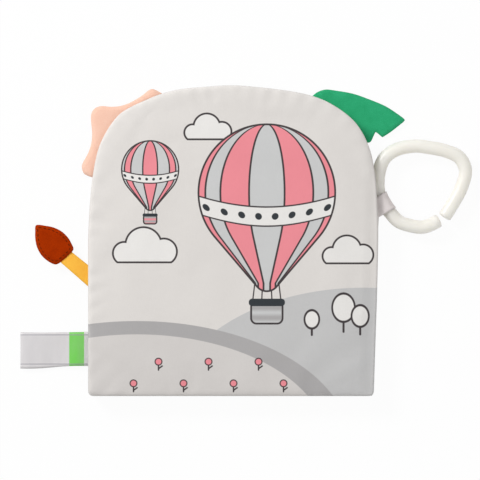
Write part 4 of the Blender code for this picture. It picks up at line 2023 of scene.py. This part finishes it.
@dataclass
class FeltPiece:
    """A felt piece that is sewn into a leaf's domed edge."""

    name: str
    node: str
    leaf: str
    leaf_body: str
    own_body: str
    seam_z: float
    outer: tuple[tuple[float, float], ...]
    inner: tuple[tuple[float, float], ...]
    finish: Felt
    slot: str
    thickness: float = 1.5 * MM
    wave: float = 0.28 * MM
    spacing: float = 2.3 * MM
    bend: tuple[float, float] = (0.6 * MM, 5.0 * MM)

    def build(self) -> None:
        """Builds the felt and hides the CAD node that it stands for."""
        edge = smooth_line(from_photo(self.outer), 5)
        outline = np.vstack([edge, from_photo(self.inner)])
        if enclosed(outline) < 0:
            outline = outline[::-1]
        material = self.finish.material(f"{self.name}_fibre")
        felt = slab(self.name, outline, self.thickness, self.level, self.spacing, material)
        zone = bend_zone(f"{self.node}_bend", *self.bend)
        seat_across(felt, (self.leaf_body, self.own_body), self.node)
        declare_cut(outline)

    def level(self, x: float, y: float, _depth: float) -> float:
        """The height of the felt's middle, which waves a little away from the seam."""
        return self.seam_z + noise.noise(Vector((x, y, self.seam_z)) * 45) * self.wave


def joint_facts(name: str) -> dict:
    """What the frame says of a joint."""
    return next(joint for joint in frame["joints"] if joint["name"] == name)


def joint_place(name: str) -> Vector:
    """A joint's place in the frame."""
    return Vector(joint_facts(name)["pos_m"])


def bend_zone(joint: str, before: float, after: float) -> Zone:
    """Where a piece on the book's edge starts and ends to bend about its joint.

    Args:
        joint: The joint's name.
        before: How far inside the joint's axis it starts.
        after: How far outside the axis it ends.

    Returns:
        The start and the end.
    """
    place, axis = joint_place(joint), Vector(joint_facts(joint)["axis"])
    out = axis.cross(Vector((0, 0, 1))).normalized()
    if out.dot(place) < 0:
        out = -out
    return tuple(place - out * before), tuple(place + out * after)


# Outlines of the tail in the photograph's pixels
TUFT_OUTLINE = (
    (35.7, 225.2), (45.5, 226.0), (53.0, 227.6), (60.8, 231.5), (67.1, 237.5), (70.6, 243.5),
    (72.6, 249.6), (67.2, 255.6), (63.0, 259.5), (55.6, 264.4), (47.8, 261.4), (41.0, 255.4),
    (36.6, 247.5), (34.8, 239.5), (34.6, 232.0),
)
STRIP_OUTLINE = (
    (50.0, 247.0), (57.6, 240.6), (72.2, 253.0), (87.7, 265.4), (90.4, 267.6), (90.4, 288.0),
    (87.7, 286.6), (74.0, 274.5), (59.9, 262.2),
)


@dataclass
class TasselTail:
    """The tasselled tail: a ribbon strip with two plies of felt sewn round its end."""

    seam_z: float
    felt: Felt
    ribbon: Ribbon
    stitch: Thread
    strip: float = 0.8 * MM
    strip_wave: float = 0.12 * MM
    ply: float = 1.0 * MM
    ply_rise: float = 0.56 * MM
    ply_swell: float = 0.6 * MM
    ply_wave: float = 0.08 * MM
    swell_reach: float = 4.5 * MM
    bend: tuple[float, float] = (0.6 * MM, 5.0 * MM)
    stitch_step: float = 3.1 * MM
    stitch_inset: float = 1.9 * MM
    stitch_rise: float = 0.47 * MM
    stitch_shares: tuple[float, float] = (0.16, 0.84)
    stitch_half_size: tuple[float, float] = (0.24 * MM, 0.16 * MM)

    def build(self) -> None:
        """Builds the strip, the tuft's plies and their stitches."""
        self.build_strip()
        outline = smooth_line(from_photo(TUFT_OUTLINE), 6, closed=True)[::-1]
        for side in Side:
            name = f"tuft_{side.label}_ply"
            material = self.felt.material(f"tuft_{side.label}_felt")
            level = partial(self.ply_level, side)
            ply = slab(name, outline, self.ply, level, 1.7 * MM, material)
            seat(ply, "tail", f"tail_tuft_{side.label}")
            declare_cut(outline)
            self.build_stitches(outline, side)

    def build_strip(self) -> None:
        """Builds the ribbon strip and hides the CAD node that it stands for."""
        outline = from_photo(STRIP_OUTLINE)[::-1]
        material = self.ribbon.material("tail_ribbon_weave")
        strip = slab(
            "tail_ribbon", outline, self.strip, self.strip_level, 1.5 * MM, material, softness=0.3
        )
        zone = bend_zone("tail_bend", *self.bend)
        seat_across(strip, ("third_leaf", "tail"), "tail_strip")
        declare_cut(outline)

    def strip_level(self, x: float, y: float, _depth: float) -> float:
        """The height of the strip's middle."""
        return self.seam_z + self.strip_wave * math.sin((x + y) / (5 * MM))

    def ply_level(self, side: Side, x: float, _y: float, depth: float) -> float:
        """The height of a ply's middle: full over the strip and drawn together at its edge.

        Args:
            side: The ply's side.
            x: The place across.
            _y: The place up.
            depth: The distance from the edge.

        Returns:
            The height.
        """
        swell = eased(min(depth / self.swell_reach, 1.0)) * self.ply_swell
        wave = self.ply_wave * math.sin(x / (3.3 * MM))
        return self.seam_z + side * (self.ply_rise + swell) + wave

    def build_stitches(self, outline: np.ndarray, side: Side) -> None:
        """Builds the row of stitches inside the tuft's edge.

        Args:
            outline: The tuft's outline.
            side: The side.
        """
        middle = outline.mean(axis=0)
        closed = np.vstack([outline, outline[:1]])
        count = int(lengths_along(closed)[-1] / self.stitch_step)
        bm = bmesh.new()
        for step in range(count):
            ends = resample(closed, (np.array(self.stitch_shares) + step) / count)
            inward = middle - ends
            inward /= np.linalg.norm(inward, axis=1)[:, None]
            ends = ends + inward * self.stitch_inset
            middle_z = self.ply_level(side, *ends.mean(axis=0), self.stitch_inset)
            height = middle_z + side * self.stitch_rise
            self.add_stitch(bm, Vector((*ends[0], height)), Vector((*ends[1], height)))
        mesh = finished_mesh(bm, f"tuft_{side.label}_stitches")
        row = make_piece(mesh.name, mesh, self.stitch.material(f"tuft_{side.label}_thread"))
        seat(row, "tail")

    def add_stitch(self, bm: bmesh.types.BMesh, start: Vector, end: Vector) -> None:
        """Adds one stitch that dips into the felt at both ends.

        Args:
            bm: The row of stitches.
            start: Where it goes in.
            end: Where it comes out.
        """
        run = end - start
        turn = run.to_track_quat("X", "Z").to_matrix().to_4x4()
        place = Matrix.Translation((start + end) / 2) @ turn
        shape = Matrix.Diagonal((run.length / 2, *self.stitch_half_size, 1))
        bmesh.ops.create_uvsphere(bm, u_segments=8, v_segments=6, radius=1, matrix=place @ shape)


@dataclass
class SatinLabel:
    """The folded satin label, wavy along its length."""

    seam_z: float
    root: float = -86.2 * MM
    end: float = -128.0 * MM
    ply: float = 0.22 * MM
    fold: float = 0.42 * MM
    width: float = 21.0 * MM
    top: float = -54.7 * MM
    bottom: float = -75.4 * MM
    sway: float = 0.42 * MM
    bend: tuple[float, float] = (0.4 * MM, 5.0 * MM)
    columns: int = 34
    rows: int = 15
    turns: int = 8

    @property
    def length(self) -> float:
        """How far it reaches out of its seam."""
        return self.root - self.end

    def build(self) -> None:
        """Builds the label as one strip that is doubled back at its outer end."""
        steps = range(self.columns + 1)
        places = [self.root - self.length * step / self.columns for step in steps]
        grid = []
        for row in range(self.rows):
            share = row / (self.rows - 1)
            line = [self.point(x, share, 1) for x in places]
            for step in range(1, self.turns):
                angle = math.pi * step / self.turns
                bow = Vector((-math.sin(angle), 0, math.cos(angle))) * self.fold
                line.append(self.point(places[-1], share, 0) + bow)
            line += [self.point(x, share, -1) for x in reversed(places)]
            grid.append([tuple(p) for p in line])
        mesh = sheet_mesh(np.array(grid), "care_label")
        label = make_piece("care_label", mesh, Satin().material("care_label_satin"))
        thicken(label, self.ply, 0)
        clean(label.data)
        zone = bend_zone("label_bend", *self.bend)
        seat_across(label, ("book_back", "label"), "satin_label")
        2 * self.length

    def point(self, x: float, share: float, side: int) -> Vector:
        """A point on one ply, at a share of the label's width.

        Args:
            x: The place across.
            share: The share of the width.
            side: 1 for the upper ply, -1 for the lower and 0 for the fold.

        Returns:
            The point.
        """
        out = (self.root - x) / self.length
        top = self.top - 0.5 * MM * math.sin(out * 2.2)
        bottom = self.bottom - 1.4 * MM * out + 0.4 * MM * math.sin(out * 6.0)
        y = bottom + (top - bottom) * share
        calm = min(1.0, out * 4)
        sway = self.sway * calm * math.sin(out * 9.0 + share * 1.6)
        spread = self.fold + 0.1 * MM * calm * math.sin(out * 7 + 1) * (1 if side > 0 else 0.4)
        return Vector((x, y, self.seam_z + sway + side * spread))


# The link's middle line, as shares of its width and height
LINK_KNOTS = (
    (0.762, 0.132), (0.881, 0.338), (0.958, 0.502), (1.000, 0.699), (0.927, 0.861), (0.763, 0.943),
    (0.579, 0.982), (0.413, 1.000), (0.212, 0.959), (0.063, 0.843), (0.000, 0.646), (0.000, 0.437),
    (0.057, 0.289), (0.138, 0.172), (0.250, 0.058), (0.461, 0.000), (0.579, 0.021), (0.688, 0.080),
)


@dataclass
class LinkOnLoop:
    """The plastic C-link and the ribbon loop that holds it."""

    span: float = 52.3 * MM
    height: float = 48.8 * MM
    radius: float = 4.02 * MM
    shift: float = -0.8 * MM
    ridge: float = 0.05 * MM
    ridge_width: float = 0.09
    loop_knot: int = 12
    steps: int = 9
    sides: int = 40
    ribbon_width: float = 11.3 * MM
    ribbon: float = 0.3 * MM
    ribbon_rows: int = 11
    root_x: float = 85.6 * MM
    least_reach: float = 4.5 * MM
    usual_reach: float = 6.2 * MM
    way_round: float = 4.66 * MM

    def line(self) -> np.ndarray:
        """The link's middle line, which passes through the middle of the loop.

        Returns:
            The line's points, one a row.
        """
        middle = joint_place("link_turn") + Vector((self.shift, 0, 0))
        knots = np.array([(u * self.span, v * self.height, 0.0) for u, v in LINK_KNOTS])
        return smooth_line(knots - knots[self.loop_knot] + np.array(middle), self.steps)

    def build(self) -> None:
        """Builds the link and its loop."""
        material = MilkyPlastic().material("milky_link_plastic")
        link = tube("milky_link", self.line(), self.thickness, self.sides, material)
        seat(link, "link", "c_link")
        self.build_loop()

    def thickness(self, _share: float, turn: float) -> float:
        """The link's radius, with a fine line where its two halves were moulded together."""
        from_line = min(abs(math.sin(turn / 2)), abs(math.cos(turn / 2)))
        return self.radius + self.ridge * math.exp(-((from_line / self.ridge_width) ** 2))

    def build_loop(self) -> None:
        """Builds the ribbon: two plies from the spine that part round the link."""
        line = self.line()
        at = self.loop_knot * self.steps
        along = Vector(line[at + 1] - line[at - 1]).normalized()
        inward = Vector((-abs(along.y), -abs(along.x), 0)).normalized()
        lengths = lengths_along(line)
        lengths -= lengths[at]
        grid = []
        for row in range(self.ribbon_rows):
            side = (row / (self.ribbon_rows - 1) - 0.5) * self.ribbon_width
            foot = Vector([np.interp(side, lengths, column) for column in line.T])
            reach = max((foot.x - self.root_x) / -inward.x, self.least_reach)
            path = self.ply_path(reach)
            grid.append([tuple(foot + inward * a + Vector((0, 0, b))) for a, b in path])
        mesh = sheet_mesh(np.array(grid), "loop_ribbon")
        finish = Ribbon(seen(232, 224, 222), seen(202, 192, 192), along.x, along.y, 0.1, 0.5)
        loop = make_piece("loop_ribbon", mesh, finish.material("loop_ribbon_weave"))
        thicken(loop, self.ribbon, 0)
        seat(loop, "loop", "ribbon_loop")
        flat = float(lengths_along(self.ply_path(self.usual_reach))[-1])

    def ply_path(self, reach: float) -> np.ndarray:
        """The ribbon's line from its upper end, round the link and back below.

        Args:
            reach: How far towards the spine it runs.

        Returns:
            Places towards the spine and up, from the middle of the loop.
        """
        radius, points = self.way_round, 27
        path = [(reach, radius + 0.05 * MM), (reach * 0.45, radius + 0.04 * MM)]
        for step in range(points):
            turn = math.radians(90 + 250 * step / (points - 1))
            path.append((radius * math.cos(turn), radius * math.sin(turn)))
        path += [(radius * 0.93, radius * 0.28), (radius * 0.86, radius * 0.66)]
        path.append((reach, radius - 0.42 * MM))
        return smooth_line(np.array(path), 3)


@dataclass
class Studio:
    """The camera above the table, the white floor and the soft lamps."""

    height: float = 2.6
    table_z: float = 15.3 * MM
    middle: tuple[float, float] = (3.9 * MM, 0.6 * MM)
    view: float = 0.288
    film: float = 36.0
    floor_z: float = -0.05 * MM
    floor_half: float = 3.0
    world: float = 0.47
    white: Colour = (1.0, 1.0, 1.0, 1.0)

    def build(self) -> None:
        """Sets the view, the floor and the light."""
        bpy.context.scene.view_settings.view_transform = "Standard"
        self.add_camera()
        self.add_floor()
        self.add_world()
        self.add_lamp("key", (-0.95, 0.85, 0.95), size=0.4, power=16.3)
        self.add_lamp("fill", (0.9, -0.6, 1.1), size=0.9, power=3.2)

    def add_camera(self) -> None:
        """Adds the camera, which looks straight down on the book."""
        data = bpy.data.cameras.new("camera")
        data.sensor_width = self.film
        data.lens = self.film * self.height / self.view
        data.clip_start = 0.05
        camera = bpy.data.objects.new("camera", data)
        camera.location = (*self.middle, self.table_z + self.height)
        bpy.context.scene.collection.objects.link(camera)
        bpy.context.scene.camera = camera

    def add_lamp(
        self, name: str, place: tuple[float, float, float], size: float, power: float
    ) -> None:
        """Adds a square lamp that faces the book.

        Args:
            name: Its name.
            place: Where it stands.
            size: The length of its sides.
            power: Its power in watts.
        """
        data = bpy.data.lights.new(name, "AREA")
        data.size = size
        data.energy = power
        lamp = bpy.data.objects.new(name, data)
        lamp.location = place
        lamp.rotation_mode = "QUATERNION"
        lamp.rotation_quaternion = Vector(place).to_track_quat("Z", "Y")
        bpy.context.scene.collection.objects.link(lamp)

    def add_floor(self) -> None:
        """Adds a white floor that keeps a faint shadow."""
        mesh = bpy.data.meshes.new("floor")
        half = self.floor_half
        corners = [(-half, -half, 0), (half, -half, 0), (half, half, 0), (-half, half, 0)]
        mesh.from_pydata(corners, [], [(0, 1, 2, 3)])
        floor = bpy.data.objects.new("floor", mesh)
        floor.location.z = self.floor_z
        bpy.context.scene.collection.objects.link(floor)
        material = bpy.data.materials.new("floor_white")
        material.use_nodes = True
        nodes = Nodes(material.node_tree)
        paint = nodes.node("ShaderNodeBsdfDiffuse", {}, {"Color": seen(246, 246, 246)})
        glow = nodes.node("ShaderNodeEmission", {}, {"Color": self.white})
        self.show_white(nodes, "Material", paint.outputs[0], glow.outputs[0], share=0.95)
        mesh.materials.append(material)

    def add_world(self) -> None:
        """Adds soft light from all round, behind a white background."""
        world = bpy.data.worlds.new("studio")
        bpy.context.scene.world = world
        world.use_nodes = True
        nodes = Nodes(world.node_tree)
        inputs = {"Color": self.white, "Strength": self.world}
        soft = nodes.node("ShaderNodeBackground", {}, inputs)
        white = nodes.node("ShaderNodeBackground", {}, {"Color": self.white})
        self.show_white(nodes, "World", soft.outputs[0], white.outputs[0], share=1.0)

    def show_white(self, nodes: Nodes, output: str, lit: Link, white: Link, share: float) -> None:
        """Shows a plain white to the camera, straight on, mirrored or through a clear piece.

        Args:
            nodes: The tree.
            output: The kind of output that it has.
            lit: The shader that all other rays meet.
            white: The white shader.
            share: How much of the white the camera sees.
        """
        rays = nodes.node("ShaderNodeLightPath").outputs
        is_seen = nodes.math("ADD", rays["Is Camera Ray"], rays["Is Glossy Ray"])
        is_seen = nodes.math("ADD", is_seen, rays["Is Transmission Ray"], clamp=True)
        mixed = nodes.node("ShaderNodeMixShader", {}, {0: is_seen * share, 1: lit, 2: white})
        kind = f"ShaderNodeOutput{output}"
        end = next(node for node in nodes.tree.nodes if node.bl_idname == kind)
        nodes.plug(end.inputs["Surface"], mixed.outputs[0])


@dataclass
class ClothBook:
    """The whole book: its leaves, its spine and the pieces on its edges."""

    cover_z: float = 13.5 * MM
    leaf_step: float = 3.9 * MM

    def build(self) -> None:
        """Builds every piece in order."""
        case = LeafShape(np.array(COVER_RIGHT_KNOTS + DOME_KNOTS) * MM)
        cover_shape = LeafShape(case.knots, columns=136, rows=144)
        inner_knots = np.array(INNER_RIGHT_KNOTS + DOME_KNOTS) * MM
        inner_shape = LeafShape(inner_knots, columns=110, rows=118)
        wrinkles = CrumpleField.settle(case)
        for step, (name, body, front, back) in enumerate(self.pages()):
            shape = inner_shape if step else cover_shape
            PaddedLeaf(
                name=name,
                body=body,
                seam_z=self.seam_z(step),
                shape=shape,
                core=inner_shape,
                wrinkles=wrinkles.turned(step).fitted(shape),
                front=front,
                back=back,
                is_cover=step == 0,
            ).build()
        Spine(axis_z=self.cover_z, leaf_step=self.leaf_step).build()
        self.build_felt_pieces()
        self.build_tail()
        SatinLabel(self.seam_z(3)).build()
        LinkOnLoop().build()

    def seam_z(self, step: int) -> float:
        """The height of a leaf's seam, so many leaves below the cover."""
        return self.cover_z - step * self.leaf_step

    def pages(self) -> list[tuple[str, str, Page, Page]]:
        """The leaves from the cover down, each with its body and what is printed on its sides.

        Returns:
            Name, body, front and back of each leaf.
        """
        peach, apricot = seen(245, 205, 184), seen(238, 178, 150)
        yellow, amber = seen(253, 196, 92), seen(214, 150, 60)
        mint, green = seen(186, 222, 204), seen(72, 170, 124)
        return [
            (
                "cover", "cover",
                Page(Motif.BALLOONS),
                Page(Motif.DOTS, WHITE, figure=PINK, stripe=BAND),
            ),
            (
                "second_leaf", "second_leaf",
                Page(Motif.SUN, PAPER, peach, apricot, seen(244, 184, 158)),
                Page(Motif.ZIGZAG, WHITE, figure=peach, stripe=GREY),
            ),
            (
                "third_leaf", "third_leaf",
                Page(Motif.RAINBOW, PAPER, seen(250, 226, 178), amber, yellow),
                Page(Motif.DOTS, WHITE, figure=yellow, stripe=amber),
            ),
            (
                "back_leaf", "book_back",
                Page(Motif.LEAFY_TREES, PAPER, mint, seen(128, 178, 152), green),
                Page(Motif.SMALL_CLOUDS, PAPER, figure=PINK),
            ),
        ]

    def build_felt_pieces(self) -> None:
        """Builds the star in the second leaf's edge and the sprig in the back leaf's."""
        FeltPiece(
            name="peach_star",
            node="felt_star",
            leaf="second_leaf",
            leaf_body="second_leaf",
            own_body="star",
            seam_z=self.seam_z(1),
            outer=STAR_OUTLINE,
            inner=STAR_INNER,
            finish=Felt(seen(252, 212, 192), seen(247, 192, 166)),
            slot="peach_felt",
        ).build()
        FeltPiece(
            name="green_sprig",
            node="felt_sprig",
            leaf="back_leaf",
            leaf_body="book_back",
            own_body="sprig",
            seam_z=self.seam_z(3),
            outer=SPRIG_OUTLINE,
            inner=SPRIG_INNER,
            finish=Felt(seen(54, 182, 128), seen(20, 150, 94)),
            slot="green_felt",
        ).build()

    def build_tail(self) -> None:
        """Builds the tail in the third leaf's edge."""
        TasselTail(
            seam_z=self.seam_z(2),
            felt=Felt(seen(178, 54, 0), seen(132, 32, 0), gloss=0.04, fuzz=0.0),
            ribbon=Ribbon(seen(255, 192, 58), seen(246, 158, 20), 0.77, -0.64, sheen=0.05),
            stitch=Thread(seen(112, 36, 4), seen(70, 20, 2)),
        ).build()


def main() -> None:
    """Builds the studio and the book."""
    logging.basicConfig(level=logging.INFO, format="%(relativeCreated)6d ms %(name)s: %(message)s")
    Studio().build()
    ClothBook().build()
    log.info("the book is built")


if __name__ == "__main__":
    main()
